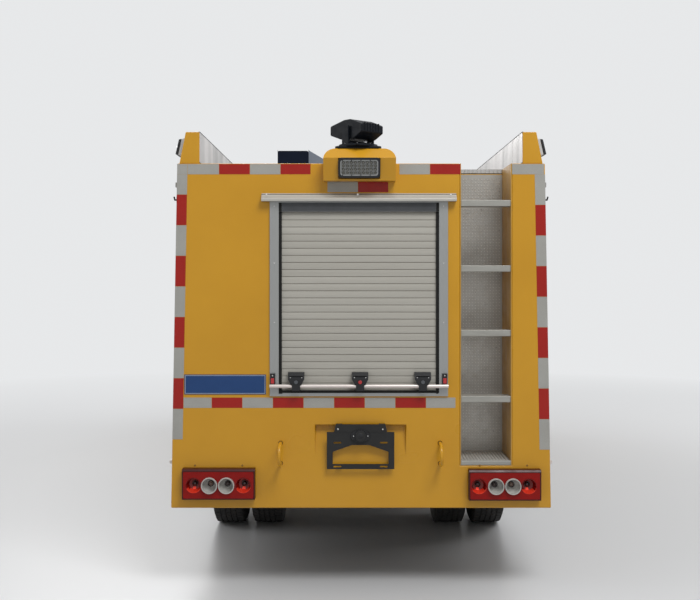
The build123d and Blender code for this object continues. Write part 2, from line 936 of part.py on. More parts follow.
# Exhaust: silencer in front of the rear axle and a pipe to the left skirt
with BuildPart() as exhaust:
    silencer_rear_y = silencer_front_y - silencer_length
    rod(
        (exhaust_x, silencer_front_y, exhaust_z),
        (exhaust_x, silencer_rear_y, exhaust_z),
        silencer_radius,
    )
    rod(
        (exhaust_x, engine_rear_y - 6, exhaust_front_z),
        (exhaust_x, silencer_front_y - 50, exhaust_z),
        exhaust_radius,
    )
    rod(
        (exhaust_x, silencer_rear_y + 50, exhaust_z),
        (exhaust_x, exhaust_bend_y, exhaust_outlet_z),
        exhaust_radius,
    )
    rod(
        (exhaust_x, exhaust_bend_y + 20, exhaust_outlet_z),
        (exhaust_outlet_x, exhaust_bend_y - 90, exhaust_outlet_z),
        exhaust_radius,
    )
    hanger_z = exhaust_z + silencer_radius
    block(
        (exhaust_x - 15, exhaust_x + 15),
        (exhaust_hanger_y - 20, exhaust_hanger_y + 20),
        (hanger_z - 35, hanger_z + 20),
    )
    block(
        (-rail_outer_x + rail_web, exhaust_x + 15),
        (exhaust_hanger_y - 20, exhaust_hanger_y + 20),
        (hanger_z + 5, hanger_z + 25),
    )
finish(exhaust, "exhaust")

# Front bumper: wraps the cab's front below its apron
with BuildPart() as front_bumper:
    with BuildSketch(Plane.XY.offset(bumper_bottom)) as bumper_plan:
        with BuildLine():
            Polyline(
                (-bumper_half_width, bumper_side_y),
                (-bumper_half_width, front_end_y),
                (bumper_half_width, front_end_y),
                (bumper_half_width, bumper_side_y),
                close=True,
            )
        make_face()
        fillet(bumper_plan.vertices().group_by(Axis.Y)[-1], bumper_corner)
        with BuildLine():
            Polyline(
                (-bumper_half_width + bumper_wall, bumper_side_y),
                (-bumper_half_width + bumper_wall, front_end_y - bumper_wall),
                (bumper_half_width - bumper_wall, front_end_y - bumper_wall),
                (bumper_half_width - bumper_wall, bumper_side_y),
                close=True,
            )
        make_face(mode=Mode.SUBTRACT)
    extrude(amount=bumper_top - bumper_bottom)
    bracket_top = bumper_top - bumper_bracket_drop
    for side in (-1, 1):
        block(
            (side * (rail_outer_x - rail_flange), side * rail_outer_x),
            (rail_front_y - bumper_bracket_length, front_end_y - bumper_wall / 2),
            (bracket_top - bumper_bracket_height, bracket_top),
        )
        block(
            (side * (rail_outer_x - rail_flange), side * rail_outer_x),
            (
                rail_front_y - bumper_bracket_length,
                rail_front_y - bumper_bracket_length + bumper_hanger_length,
            ),
            (bracket_top - 5, rail_bottom),
        )
finish(front_bumper, "front_bumper")

# Box body. The side walls lean in a little from bottom to top.


def wall_x(z):
    share = (z - body_bottom_z) / (body_top_z - body_bottom_z)
    return body_bottom_half + (body_top_half - body_bottom_half) * share


wall_top_z = body_top_z - deck_thickness
rear_inner_y = body_rear_y + rear_wall_thickness
bulkhead_y = body_front_y - bulkhead_thickness

for side in (-1, 1):
    with BuildPart() as side_wall:
        prism_y(
            [
                (side * body_inner_half, body_bottom_z),
                (side * wall_x(body_bottom_z), body_bottom_z),
                (side * wall_x(wall_top_z), wall_top_z),
                (side * body_inner_half, wall_top_z),
            ],
            rear_inner_y,
            body_front_y,
        )
        for y0, y1, z0, z1 in side_shutters:
            head_z = z1 + shutter_head_height - shutter_head_cover
            block(
                (side * (body_inner_half - 1), side * (body_bottom_half + 1)),
                (y0, y1),
                (z0, head_z),
                Mode.SUBTRACT,
            )
        rod(
            (side * (body_inner_half - 1), rear_axle_y, tyre_radius),
            (side * (body_bottom_half + 1), rear_axle_y, tyre_radius),
            body_arch_radius,
            Mode.SUBTRACT,
        )
    finish(side_wall, f"{side_name(side)}_side_wall")

# Floor with its runners on the rails and the low locker bins at both sides
recess_front_y = body_rear_y + ladder_depth + ladder_sheet
with BuildPart() as body_floor:
    block(
        (-body_inner_half, body_inner_half),
        (rear_inner_y, bulkhead_y),
        (floor_bottom_z, floor_bottom_z + floor_thickness),
    )
    for side in (-1, 1):
        block(
            (side * (rail_outer_x - rail_flange), side * rail_outer_x),
            (rail_rear_y + 40, bulkhead_y),
            (rail_top, floor_bottom_z),
        )
        rear_bin = (recess_front_y + 6, rear_axle_y - bin_reach_y)
        front_bin = (rear_axle_y + bin_reach_y + 30, bulkhead_y)
        for y0, y1 in (rear_bin, front_bin):
            block(
                (side * bin_inner_x, side * body_inner_half),
                (y0, y1),
                (bin_bottom_z, floor_bottom_z + floor_thickness),
            )
            block(
                (side * (bin_inner_x + bin_wall), side * body_inner_half),
                (y0 + bin_wall, y1 - bin_wall),
                (bin_bottom_z + bin_wall, floor_bottom_z + floor_thickness),
                Mode.SUBTRACT,
            )
    block(
        (ladder_left - ladder_sheet - fit, ladder_right + ladder_sheet + fit),
        (rear_inner_y - 1, recess_front_y + fit),
        (floor_bottom_z - 1, floor_bottom_z + floor_thickness + 1),
        Mode.SUBTRACT,
    )
finish(body_floor, "body_floor")

with BuildPart() as front_bulkhead:
    block(
        (-body_inner_half, body_inner_half),
        (bulkhead_y, body_front_y),
        (bin_bottom_z, wall_top_z),
    )
    block(
        (-rail_outer_x - 12, rail_outer_x + 12),
        (bulkhead_y - 1, body_front_y + 1),
        (bin_bottom_z - 1, rail_top + 20),
        Mode.SUBTRACT,
    )
finish(front_bulkhead, "front_bulkhead")

# Rear wall with the shutter opening, the ladder slot and the plate pocket
with BuildPart() as rear_wall:
    prism_y(
        [
            (-body_bottom_half, body_bottom_z),
            (-body_top_half, body_top_z),
            (body_top_half, body_top_z),
            (body_bottom_half, body_bottom_z),
        ],
        body_rear_y,
        rear_inner_y,
    )
    block(
        (rear_shutter_left - curtain_tuck - 1, rear_shutter_right + curtain_tuck + 1),
        (body_rear_y - 1, rear_inner_y + 1),
        (
            rear_shutter_bottom - curtain_tuck,
            rear_shutter_top + shutter_head_height - shutter_head_cover,
        ),
        Mode.SUBTRACT,
    )
    block(
        (ladder_left - ladder_sheet - fit, ladder_right + ladder_sheet + fit),
        (body_rear_y - 1, rear_inner_y + 1),
        (ladder_bottom - fit, body_top_z + 1),
        Mode.SUBTRACT,
    )
    prism_x(
        [
            (body_rear_y - 1, plate_pocket_bottom),
            (body_rear_y, plate_pocket_bottom),
            (body_rear_y + plate_pocket_depth, plate_pocket_top),
            (body_rear_y - 1, plate_pocket_top),
        ],
        plate_pocket_left,
        plate_pocket_right,
        Mode.SUBTRACT,
    )
finish(rear_wall, "rear_wall")

with BuildPart() as roof_deck:
    block(
        (-body_top_half, body_top_half),
        (rear_inner_y, body_front_y),
        (wall_top_z, body_top_z),
    )
    block(
        (ladder_left - ladder_sheet - fit, ladder_right + ladder_sheet + fit),
        (rear_inner_y - 1, recess_front_y + fit),
        (wall_top_z - 1, body_top_z + 1),
        Mode.SUBTRACT,
    )
finish(roof_deck, "roof_deck")

with BuildPart() as roof_parapets:
    for side in (-1, 1):
        prism_y(
            [
                (side * parapet_inner_x, body_top_z),
                (side * parapet_foot_x, body_top_z),
                (side * parapet_top_x, parapet_top_z),
                (side * parapet_inner_x, parapet_top_z),
            ],
            body_rear_y + parapet_rear_setback,
            body_front_y - parapet_front_setback,
        )
finish(roof_parapets, "roof_parapets")

# Roller shutters. A frame lies on the wall round each opening, with a gutter above it.


def side_layer(side, y0, y1, z0, z1, near, far, mode=Mode.ADD):
    """A plate that follows the side wall's lean, between two distances from its face."""
    prism_y(
        [
            (side * (wall_x(z0) + near), z0),
            (side * (wall_x(z0) + far), z0),
            (side * (wall_x(z1) + far), z1),
            (side * (wall_x(z1) + near), z1),
        ],
        y0,
        y1,
        mode,
    )


rear_frame_left = rear_shutter_left - shutter_frame_width
rear_frame_right = rear_shutter_right + shutter_frame_width
rear_frame_bottom = rear_shutter_bottom - shutter_frame_foot
rear_frame_top = rear_shutter_top + shutter_head_height

with BuildPart() as shutter_frames:
    frame_back = body_rear_y - shutter_frame_height
    block(
        (rear_frame_left, rear_frame_right),
        (frame_back, body_rear_y),
        (rear_frame_bottom, rear_frame_top),
    )
    block(
        (rear_shutter_left, rear_shutter_right),
        (frame_back - 1, body_rear_y + 1),
        (rear_shutter_bottom, rear_shutter_top),
        Mode.SUBTRACT,
    )
    gutter_z = rear_frame_top
    prism_x(
        [
            (body_rear_y, gutter_z),
            (body_rear_y, gutter_z + gutter_height),
            (body_rear_y - 5, gutter_z + gutter_height),
            (body_rear_y - gutter_reach, gutter_z + 12),
            (body_rear_y - gutter_reach, gutter_z),
        ],
        rear_frame_left - gutter_lap,
        rear_frame_right + gutter_lap,
    )
    for side in (-1, 1):
        for y0, y1, z0, z1 in side_shutters:
            side_layer(
                side,
                y0 - shutter_frame_width + curtain_tuck,
                y1 + shutter_frame_width - curtain_tuck,
                z0 - shutter_frame_width + curtain_tuck,
                z1 + shutter_head_height,
                0,
                shutter_frame_height,
            )
            side_layer(
                side,
                y0 + curtain_tuck,
                y1 - curtain_tuck,
                z0 + curtain_tuck,
                z1,
                -1,
                shutter_frame_height + 1,
                Mode.SUBTRACT,
            )
        gutter_z = side_shutters[0][3] + shutter_head_height
        first_y = side_shutters[0][0] - gutter_lap
        last_y = side_shutters[-1][1] + gutter_lap
        side_layer(
            side,
            first_y,
            last_y,
            gutter_z,
            gutter_z + side_gutter_height,
            0,
            side_gutter_reach,
        )
finish(shutter_frames, "shutter_frames")



def curtain_profile(z0, z1, first_z):
    """A curtain's (depth, z) outline, a groove under each slat from first_z upwards."""
    front = [(curtain_depth, z0)]
    joint_z = first_z
    while joint_z < z1 - slat_pitch / 2:
        front.append((curtain_depth, joint_z - slat_groove / 2))
        front.append((curtain_depth + slat_relief, joint_z))
        front.append((curtain_depth, joint_z + slat_groove / 2))
        joint_z += slat_pitch
    front.append((curtain_depth, z1))
    back = curtain_depth + curtain_thickness
    return front + [(back, z1), (back, z0)]


curtain_head = shutter_head_height - shutter_head_cover - 2
with BuildPart() as shutter_curtains:
    near_y = body_rear_y + curtain_depth
    profile = curtain_profile(
        rear_shutter_bottom - curtain_tuck + fit,
        rear_shutter_top + curtain_head,
        rear_shutter_bottom + slat_pitch,
    )
    prism_x(
        [(body_rear_y + depth, z) for depth, z in profile],
        rear_shutter_left - curtain_tuck,
        rear_shutter_right + curtain_tuck,
    )
    for side in (-1, 1):
        for y0, y1, z0, z1 in side_shutters:
            first_z = z0 + curtain_tuck + slat_pitch
            profile = curtain_profile(z0 + fit, z1 + curtain_head, first_z)
            prism_y([(side * (wall_x(z) - depth), z) for depth, z in profile], y0 + 1, y1 - 1)
finish(shutter_curtains, "shutter_curtains")

# Lift bar and latches at the foot of each shutter
rear_bar_z = rear_shutter_bottom + lift_bar_rise
with BuildPart() as shutter_bars:
    bar_y = body_rear_y - shutter_frame_height - lift_bar_stand
    rod(
        (rear_frame_left, bar_y, rear_bar_z),
        (rear_frame_right, bar_y, rear_bar_z),
        lift_bar_radius,
    )
    for latch_x in rear_latch_x:
        half = latch_width / 2
        strap = latch_strap / 2
        prism_y(
            [
                (latch_x - half, rear_bar_z + latch_top),
                (latch_x + half, rear_bar_z + latch_top),
                (latch_x + half, rear_bar_z + latch_shoulder),
                (latch_x + strap, rear_bar_z - latch_foot),
                (latch_x - strap, rear_bar_z - latch_foot),
                (latch_x - half, rear_bar_z + latch_shoulder),
            ],
            bar_y - lift_bar_radius - latch_stand,
            near_y - fit,
        )
    for side in (-1, 1):
        for y0, y1, z0, z1 in side_shutters:
            bar_z = z0 + curtain_tuck + lift_bar_rise
            bar_x = side * (wall_x(bar_z) + shutter_frame_height + lift_bar_stand)
            rod((bar_x, y0, bar_z), (bar_x, y1, bar_z), lift_bar_radius)
            aside = side_latch_share * (y1 - y0)
            for latch_y in (y0 + aside, (y0 + y1) / 2, y1 - aside):
                block(
                    (
                        side * (wall_x(bar_z - side_latch_foot) - curtain_depth + fit),
                        bar_x + side * (lift_bar_radius + latch_stand),
                    ),
                    (latch_y - latch_width / 2, latch_y + latch_width / 2),
                    (bar_z - side_latch_foot, bar_z + side_latch_top),
                )
finish(shutter_bars, "shutter_bars")

# Ladder recess: folded sheet, open at the back and the top, with treads between its sides
with BuildPart() as ladder_recess:
    block(
        (ladder_left - ladder_sheet, ladder_right + ladder_sheet),
        (body_rear_y, recess_front_y),
        (ladder_bottom, body_top_z),
    )
    block(
        (ladder_left, ladder_right),
        (body_rear_y - 1, recess_front_y - ladder_sheet),
        (ladder_bottom - 1, body_top_z + 1),
        Mode.SUBTRACT,
    )
    block(
        (ladder_left, ladder_right),
        (body_rear_y, recess_front_y + 1),
        (ladder_top, body_top_z + 1),
        Mode.SUBTRACT,
    )
finish(ladder_recess, "ladder_recess")

with BuildPart() as ladder_steps:
    tread = (ladder_left + fit, ladder_right - fit)
    back = recess_front_y - ladder_sheet
    block(tread, (body_rear_y, back - fit), (ladder_bottom, ladder_bottom + ladder_foot_height))
    for step_z in ladder_step_z:
        block(
            tread,
            (
                body_rear_y + ladder_step_setback,
                body_rear_y + ladder_step_setback + ladder_step_depth,
            ),
            (step_z, step_z + ladder_step_height),
        )
finish(ladder_steps, "ladder_steps")

# Tail lamps: a housing with a sloping top lip and four round lenses each
with BuildPart() as tail_lamps:
    for side in (-1, 1):
        prism_x(
            [
                (body_rear_y, tail_lamp_bottom),
                (body_rear_y - tail_lamp_depth, tail_lamp_bottom + tail_lamp_foot),
                (body_rear_y - tail_lamp_depth, tail_lamp_top - tail_lamp_lip_z[0]),
                (
                    body_rear_y - tail_lamp_depth - tail_lamp_lip,
                    tail_lamp_top - tail_lamp_lip_z[1],
                ),
                (body_rear_y - tail_lamp_top_depth, tail_lamp_top),
                (body_rear_y, tail_lamp_top),
            ],
            tail_lamp_inner if side > 0 else -tail_lamp_outer,
            tail_lamp_outer if side > 0 else -tail_lamp_inner,
        )
        for lens_x in tail_lens_x:
            rod(
                (side * lens_x, body_rear_y - tail_lamp_depth + 2, tail_lens_z),
                (side * lens_x, body_rear_y - tail_lamp_depth - tail_lens_depth, tail_lens_z),
                tail_lens_radius,
            )
finish(tail_lamps, "tail_lamps")

# Number plate bracket: a slotted sheet that stands off the panel on its folded top
plate_y = body_rear_y - plate_stand
plate_middle_x = (plate_left + plate_right) / 2
plate_slot_z = (plate_bottom + plate_top) / 2 - plate_slot_drop
with BuildPart() as plate_bracket:
    block((plate_left, plate_right), (plate_y - plate_thickness, plate_y), (plate_bottom, plate_top))
    block(
        (plate_left + plate_flange_inset, plate_right - plate_flange_inset),
        (plate_y - plate_thickness, plate_y),
        (plate_top, plate_top + plate_flange_height),
    )
    tab_top_z = plate_top + plate_tab_top
    for tab_x in (plate_left + plate_tab_insets[0], plate_right - plate_tab_insets[1]):
        block(
            (tab_x, tab_x + plate_tab_width),
            (plate_y - 1, body_rear_y),
            (plate_bottom + plate_tab_rise, plate_bottom + plate_tab_rise + plate_thickness),
        )
        block(
            (tab_x, tab_x + plate_tab_width),
            (plate_y - 1, body_rear_y),
            (tab_top_z - plate_thickness, tab_top_z),
        )
        block(
            (tab_x, tab_x + plate_tab_width),
            (plate_y - plate_thickness, plate_y),
            (plate_top + plate_flange_height - 6, tab_top_z),
        )
    prism_y(
        [
            (plate_middle_x - plate_window_half, plate_slot_z - plate_window_foot),
            (plate_middle_x + plate_window_half, plate_slot_z - plate_window_foot),
            (plate_middle_x + plate_window_half, plate_slot_z + plate_window_side),
            (plate_middle_x + plate_window_flat, plate_slot_z + plate_window_peak),
            (plate_middle_x - plate_window_flat, plate_slot_z + plate_window_peak),
            (plate_middle_x - plate_window_half, plate_slot_z + plate_window_side),
        ],
        plate_y - plate_thickness - 1,
        plate_y + 1,
        Mode.SUBTRACT,
    )
    with BuildSketch(Plane.XZ.offset(-plate_y - 1)) as slots:
        with Locations((plate_middle_x, plate_slot_z)):
            with GridLocations(plate_slot_dx, plate_slot_dz, 2, 2):
                SlotOverall(plate_slot_length, plate_slot_width)
    extrude(slots.sketch, amount=plate_thickness + 2, mode=Mode.SUBTRACT)
    rod(
        (plate_middle_x, plate_y - plate_thickness - plate_lamp_height, plate_top - plate_lamp_drop),
        (plate_middle_x, plate_y - plate_thickness, plate_top - plate_lamp_drop),
        plate_lamp_radius,
    )
finish(plate_bracket, "plate_bracket")

# Tow eyes: bent rods that stand out from the rear wall
with BuildPart() as tow_eyes:
    bend_y = rear_end_y + tow_eye_rod + tow_eye_radius
    for eye_x in tow_eye_x:
        with BuildLine(Plane.YZ.offset(eye_x)) as eye_path:
            Line((body_rear_y, tow_eye_z + tow_eye_radius), (bend_y, tow_eye_z + tow_eye_radius))
            ThreePointArc(
                (bend_y, tow_eye_z + tow_eye_radius),
                (bend_y - tow_eye_radius, tow_eye_z),
                (bend_y, tow_eye_z - tow_eye_radius),
            )
            Line((bend_y, tow_eye_z - tow_eye_radius), (body_rear_y, tow_eye_z - tow_eye_radius))
        start = (eye_x, body_rear_y, tow_eye_z + tow_eye_radius)
        with BuildSketch(Plane(origin=start, z_dir=(0, -1, 0))):
            Circle(tow_eye_rod)
        sweep(path=eye_path.line)
finish(tow_eyes, "tow_eyes")

# Hood over the rear work lamp, with a pocket for it
with BuildPart() as lamp_hood:
    prism_x(
        [
            (body_rear_y, hood_bottom),
            (hood_front_y + hood_foot_setback, hood_bottom),
            (hood_front_y, hood_crease_z),
            (hood_front_y + hood_top_setback, hood_top),
            (hood_back_y, hood_top),
            (hood_back_y, body_top_z),
            (body_rear_y, body_top_z),
        ],
        hood_left,
        hood_right,
    )
    with BuildSketch(Plane.XZ.offset(-hood_back_y)) as hood_front:
        with BuildLine():
            Polyline(
                (hood_left, hood_bottom),
                (hood_left, hood_top),
                (hood_right, hood_top),
                (hood_right, hood_bottom),
                close=True,
            )
        make_face()
        fillet(hood_front.vertices().group_by(Axis.Y)[-1], hood_corner)
    extrude(hood_front.sketch, amount=hood_back_y - hood_front_y, mode=Mode.INTERSECT)
    block(
        (work_lamp_left - fit, work_lamp_right + fit),
        (hood_front_y - 1, work_lamp_face_y + work_lamp_body + fit),
        (work_lamp_bottom - fit, work_lamp_top + fit),
        Mode.SUBTRACT,
    )
finish(lamp_hood, "lamp_hood")

# Work lamps: one in the rear hood, one on the outside of each parapet


def parapet_x(z):
    share = (z - body_top_z) / (parapet_top_z - body_top_z)
    return parapet_foot_x + (parapet_top_x - parapet_foot_x) * share


with BuildPart() as work_lamps:
    block(
        (work_lamp_left, work_lamp_right),
        (work_lamp_face_y, work_lamp_face_y + work_lamp_body),
        (work_lamp_bottom, work_lamp_top),
    )
    fillet(work_lamps.edges().filter_by(Axis.Y), work_lamp_corner)
    for side in (-1, 1):
        prism_y(
            [
                (side * parapet_x(flood_bottom_z), flood_bottom_z),
                (
                    side * (parapet_x(flood_bottom_z) + flood_reach),
                    flood_bottom_z + flood_lower_chamfer,
                ),
                (
                    side * (parapet_x(flood_top_z) + flood_reach),
                    flood_top_z - flood_upper_chamfer,
                ),
                (side * parapet_x(flood_top_z), flood_top_z),
            ],
            flood_rear_y,
            flood_rear_y + flood_length,
        )
finish(work_lamps, "work_lamps")

# Remote searchlight: flange, turning neck with two cheeks, and tilting head
base_top = hood_top + searchlight_base_height
light_plane = Plane(
    origin=(searchlight_x, searchlight_y, 0),
    x_dir=(cos(radians(searchlight_turn)), sin(radians(searchlight_turn)), 0),
    z_dir=(0, 0, 1),
)
with BuildPart() as searchlight_base:
    with BuildSketch(Plane.XY.offset(hood_top)):
        with Locations((searchlight_x, searchlight_y)):
            RectangleRounded(
                searchlight_base_width, searchlight_base_depth, searchlight_base_corner
            )
    extrude(amount=searchlight_base_height)
finish(searchlight_base, "searchlight_base")

neck_bottom = base_top + fit
head_half = searchlight_cheek_x - searchlight_cheek_gap
head_plane = Plane(
    origin=(searchlight_x, searchlight_y, searchlight_axis_z),
    x_dir=light_plane.y_dir,
    z_dir=light_plane.x_dir,
)
with BuildPart() as searchlight_neck:
    with BuildSketch(light_plane.offset(neck_bottom)):
        Circle(searchlight_neck_radius + searchlight_neck_flange)
    extrude(amount=searchlight_neck_height)
    for side in (-1, 1):
        with BuildSketch(light_plane.offset(neck_bottom)):
            with Locations((side * (searchlight_cheek_x + searchlight_cheek / 2), 0)):
                Rectangle(searchlight_cheek, searchlight_cheek_depth)
        extrude(amount=searchlight_axis_z + searchlight_cheek_rise - neck_bottom)
        with BuildSketch(head_plane.offset(side * (head_half - trunnion_length))):
            Circle(trunnion_radius)
        extrude(amount=side * (trunnion_length + searchlight_cheek_gap + 1))
finish(searchlight_neck, "searchlight_neck")

with BuildPart() as searchlight_head:
    with BuildSketch(head_plane.offset(-head_half)):
        with BuildLine():
            Polyline(
                (-searchlight_head_reach, 22),
                (-searchlight_head_reach, -15),
                (-45, -42),
                (45, -42),
                (searchlight_head_reach, -15),
                (searchlight_head_reach, 30),
                (22, 52),
                (-22, 52),
                close=True,
            )
        make_face()
    extrude(amount=2 * head_half)
    along_axis = searchlight_head.edges().filter_by(Axis((0, 0, 0), light_plane.x_dir))
    fillet(along_axis, searchlight_head_edge)
    for side in (-1, 1):
        with BuildSketch(head_plane.offset(side * (head_half - trunnion_length - 2))):
            Circle(trunnion_radius + fit)
        extrude(amount=side * (trunnion_length + 4), mode=Mode.SUBTRACT)
finish(searchlight_head, "searchlight_head")

# Folding mast: base box with two cheeks, outer tube on a pin, inner tube with the lamps
with BuildPart() as mast_base:
    back_y = mast_pivot_y - mast_tail - 8
    block(
        (mast_x - mast_cheek_half, mast_x + mast_cheek_half),
        (back_y - mast_box_depth, back_y),
        (body_top_z, mast_pivot_z + mast_box_rise),
    )
    fillet(mast_base.edges().filter_by(Axis.Y), 12)
    prism_y(
        [
            (mast_x + mast_cheek_half - 1, body_top_z),
            (mast_x + mast_cheek_half - 1, mast_pivot_z + mast_box_rise - 12),
            (mast_x + mast_cheek_half + mast_flank_reach, body_top_z),
        ],
        back_y - mast_box_depth,
        back_y,
    )
    block(
        (mast_x - mast_cheek_half, mast_x + mast_cheek_half),
        (back_y - mast_box_depth, mast_pivot_y + 80),
        (body_top_z, body_top_z + mast_foot_plate),
    )
    for side in (-1, 1):
        inner = mast_tube / 2 + mast_cheek_gap
        outer = inner + mast_cheek
        prism_x(
            [
                (back_y - 10, body_top_z),
                (back_y - 10, mast_pivot_z + 30),
                (mast_pivot_y + 20, mast_pivot_z + 30),
                (mast_pivot_y + 70, body_top_z),
            ],
            mast_x + min(side * inner, side * outer),
            mast_x + max(side * inner, side * outer),
        )
    rod(
        (mast_x - outer + 4, mast_pivot_y, mast_pivot_z),
        (mast_x + outer - 4, mast_pivot_y, mast_pivot_z),
        mast_pin_radius,
    )
finish(mast_base, "mast_base")

mast_half = mast_tube / 2
mast_bore = mast_half - mast_tube_wall
sleeve_start = mast_pivot_y + 60
with BuildPart() as mast_arm:
    block(
        (mast_x - mast_half, mast_x + mast_half),
        (mast_pivot_y - mast_half, mast_pivot_y + mast_length),
        (mast_pivot_z - mast_half, mast_pivot_z + mast_half),
    )
    block(
        (mast_x - mast_bore, mast_x + mast_bore),
        (sleeve_start, mast_pivot_y + mast_length + 1),
        (mast_pivot_z - mast_bore, mast_pivot_z + mast_bore),
        Mode.SUBTRACT,
    )
    rod(
        (mast_x - mast_half - 1, mast_pivot_y, mast_pivot_z),
        (mast_x + mast_half + 1, mast_pivot_y, mast_pivot_z),
        mast_pin_radius + running_gap / 2,
        Mode.SUBTRACT,
    )
finish(mast_arm, "mast_arm")

mast_end_y = mast_pivot_y + mast_length
with BuildPart() as mast_head:
    inner_half = mast_bore - fit
    block(
        (mast_x - inner_half, mast_x + inner_half),
        (sleeve_start + 10, mast_end_y + 30),
        (mast_pivot_z - inner_half, mast_pivot_z + inner_half),
    )
    block(
        (mast_x - mast_lamp_half_width, mast_x + mast_lamp_half_width),
        (mast_end_y + 20, mast_end_y + 20 + mast_lamp_depth),
        (mast_pivot_z - mast_lamp_height / 2, mast_pivot_z + mast_lamp_height / 2),
    )
finish(mast_head, "mast_head")

# Cab. One solid form gives the shell, the doors, the glass and what lies on its skin.


def cab_form(inset, bottom):
    """The cab's outer form with every face moved in by inset, down to a bottom height."""
    with BuildPart() as form:
        with BuildSketch(Plane.YZ.offset(-bumper_half_width)) as side_view:
            with BuildLine():
                Polyline(
                    (cab_rear_y + inset, bottom),
                    (cab_rear_y + inset, cab_roof_z - inset),
                    (cab_screen_top_y - cab_roof_drop_y - inset, cab_roof_z - inset),
                    (cab_screen_top_y - inset, cab_screen_top_z - inset),
                    (cab_front_y - inset, cab_belt_z - inset),
                    (cab_front_y - inset, bottom),
                    close=True,
                )
            make_face()
            roof_points = side_view.vertices().group_by(Axis.Y)[-1]
            fillet(roof_points, 60)
        extrude(side_view.sketch, amount=2 * bumper_half_width)
        half = cab_half_width - inset
        top_half = cab_top_half_width - inset
        with BuildSketch(Plane.XZ.offset(-front_end_y)) as front_view:
            with BuildLine():
                Polyline(
                    (-half, bottom),
                    (-half, cab_belt_z),
                    (-top_half, cab_roof_z - inset),
                    (top_half, cab_roof_z - inset),
                    (half, cab_belt_z),
                    (half, bottom),
                    close=True,
                )
            make_face()
            fillet(front_view.vertices().group_by(Axis.Y)[-1], cab_roof_corner - inset)
        extrude(front_view.sketch, amount=overall_length, mode=Mode.INTERSECT)
        with BuildSketch(Plane.XY.offset(bottom)) as plan_view:
            with BuildLine():
                Polyline(
                    (-half, cab_rear_y + inset),
                    (-half, cab_front_y - inset),
                    (half, cab_front_y - inset),
                    (half, cab_rear_y + inset),
                    close=True,
                )
            make_face()
            fillet(plan_view.vertices().group_by(Axis.Y)[-1], cab_corner - inset)
        extrude(plan_view.sketch, amount=cab_roof_z, mode=Mode.INTERSECT)
    return form.part


def door_outline(row, inset):
    """A door's (y, z) corners, each edge moved in by inset."""
    front, front_top, rear, bottom, top, _ = row
    lean_z = cab_belt_z
    return [
        (rear + inset, bottom + inset),
        (rear + inset, top - inset),
        (front_top - inset, top - inset),
        (front - inset, lean_z),
        (front - inset, bottom + inset),
    ]


def window_outline(row, inset):
    """A door window's (y, z) corners, each edge moved in by inset."""
    front, front_top, rear, _, top, sill = row
    frame = window_frame + inset
    share = (sill - cab_belt_z) / (top - cab_belt_z)
    sill_front = front + (front_top - front) * share
    return [
        (rear + frame, sill + inset),
        (rear + frame, top - frame),
        (front_top - frame, top - frame),
        (sill_front - frame, sill + inset),
    ]


def door_hinge_place(row, side):
    """Where a door's hinge axis stands in plan."""
    return side * (cab_half_width + hinge_radius + hinge_stand), row[0] - door_gap / 2


def add_hinge(row, side, middle_z, on_door):
    """One half of a door hinge: the outer barrels and pin, or the barrel between them."""
    axis_x, axis_y = door_hinge_place(row, side)
    half = hinge_height / 2
    if on_door:
        spans = [(middle_z - half, middle_z + half)]
    else:
        outer = 2 * hinge_height
        spans = [(middle_z + half + fit, middle_z + outer)]
        spans.append((middle_z - outer, middle_z - half - fit))
    away = -1 if on_door else 1
    for low, high in spans:
        rod((axis_x, axis_y, low), (axis_x, axis_y, high), hinge_radius)
        block(
            (side * cab_half_width, axis_x),
            (axis_y + away * hinge_leaf, axis_y + away * door_gap / 2),
            (low, high),
        )
        block(
            (side * (cab_half_width + hinge_stand), axis_x),
            (axis_y + away * door_gap, axis_y),
            (low, high),
        )
    if on_door:
        low, high = spans[0]
        bore = hinge_pin_radius + fit
        rod((axis_x, axis_y, low - 1), (axis_x, axis_y, high + 1), bore, Mode.SUBTRACT)
    else:
        low, high = middle_z - 1.9 * hinge_height, middle_z + 1.9 * hinge_height
        rod((axis_x, axis_y, low), (axis_x, axis_y, high), hinge_pin_radius)


def screen_outline(inset):
    return [
        (-screen_bottom_half + inset, screen_bottom_z + inset),
        (-screen_top_half + inset, screen_top_z - inset),
        (screen_top_half - inset, screen_top_z - inset),
        (screen_bottom_half - inset, screen_bottom_z + inset),
    ]


cab_skin = cab_form(0, cab_bottom_z)
cab_inside = cab_form(cab_wall, cab_bottom_z - 1)
with BuildPart() as cab_walls:
    add(cab_skin)
    add(cab_inside, mode=Mode.SUBTRACT)
    for side in (-1, 1):
        rod(
            (side * (cab_half_width - 2 * cab_wall), front_axle_y, tyre_radius),
            (side * (cab_half_width + 1), front_axle_y, tyre_radius),
            cab_arch_radius,
            Mode.SUBTRACT,
        )
cab_side_span = (cab_top_half_width - 2 * cab_wall, cab_half_width + 1)

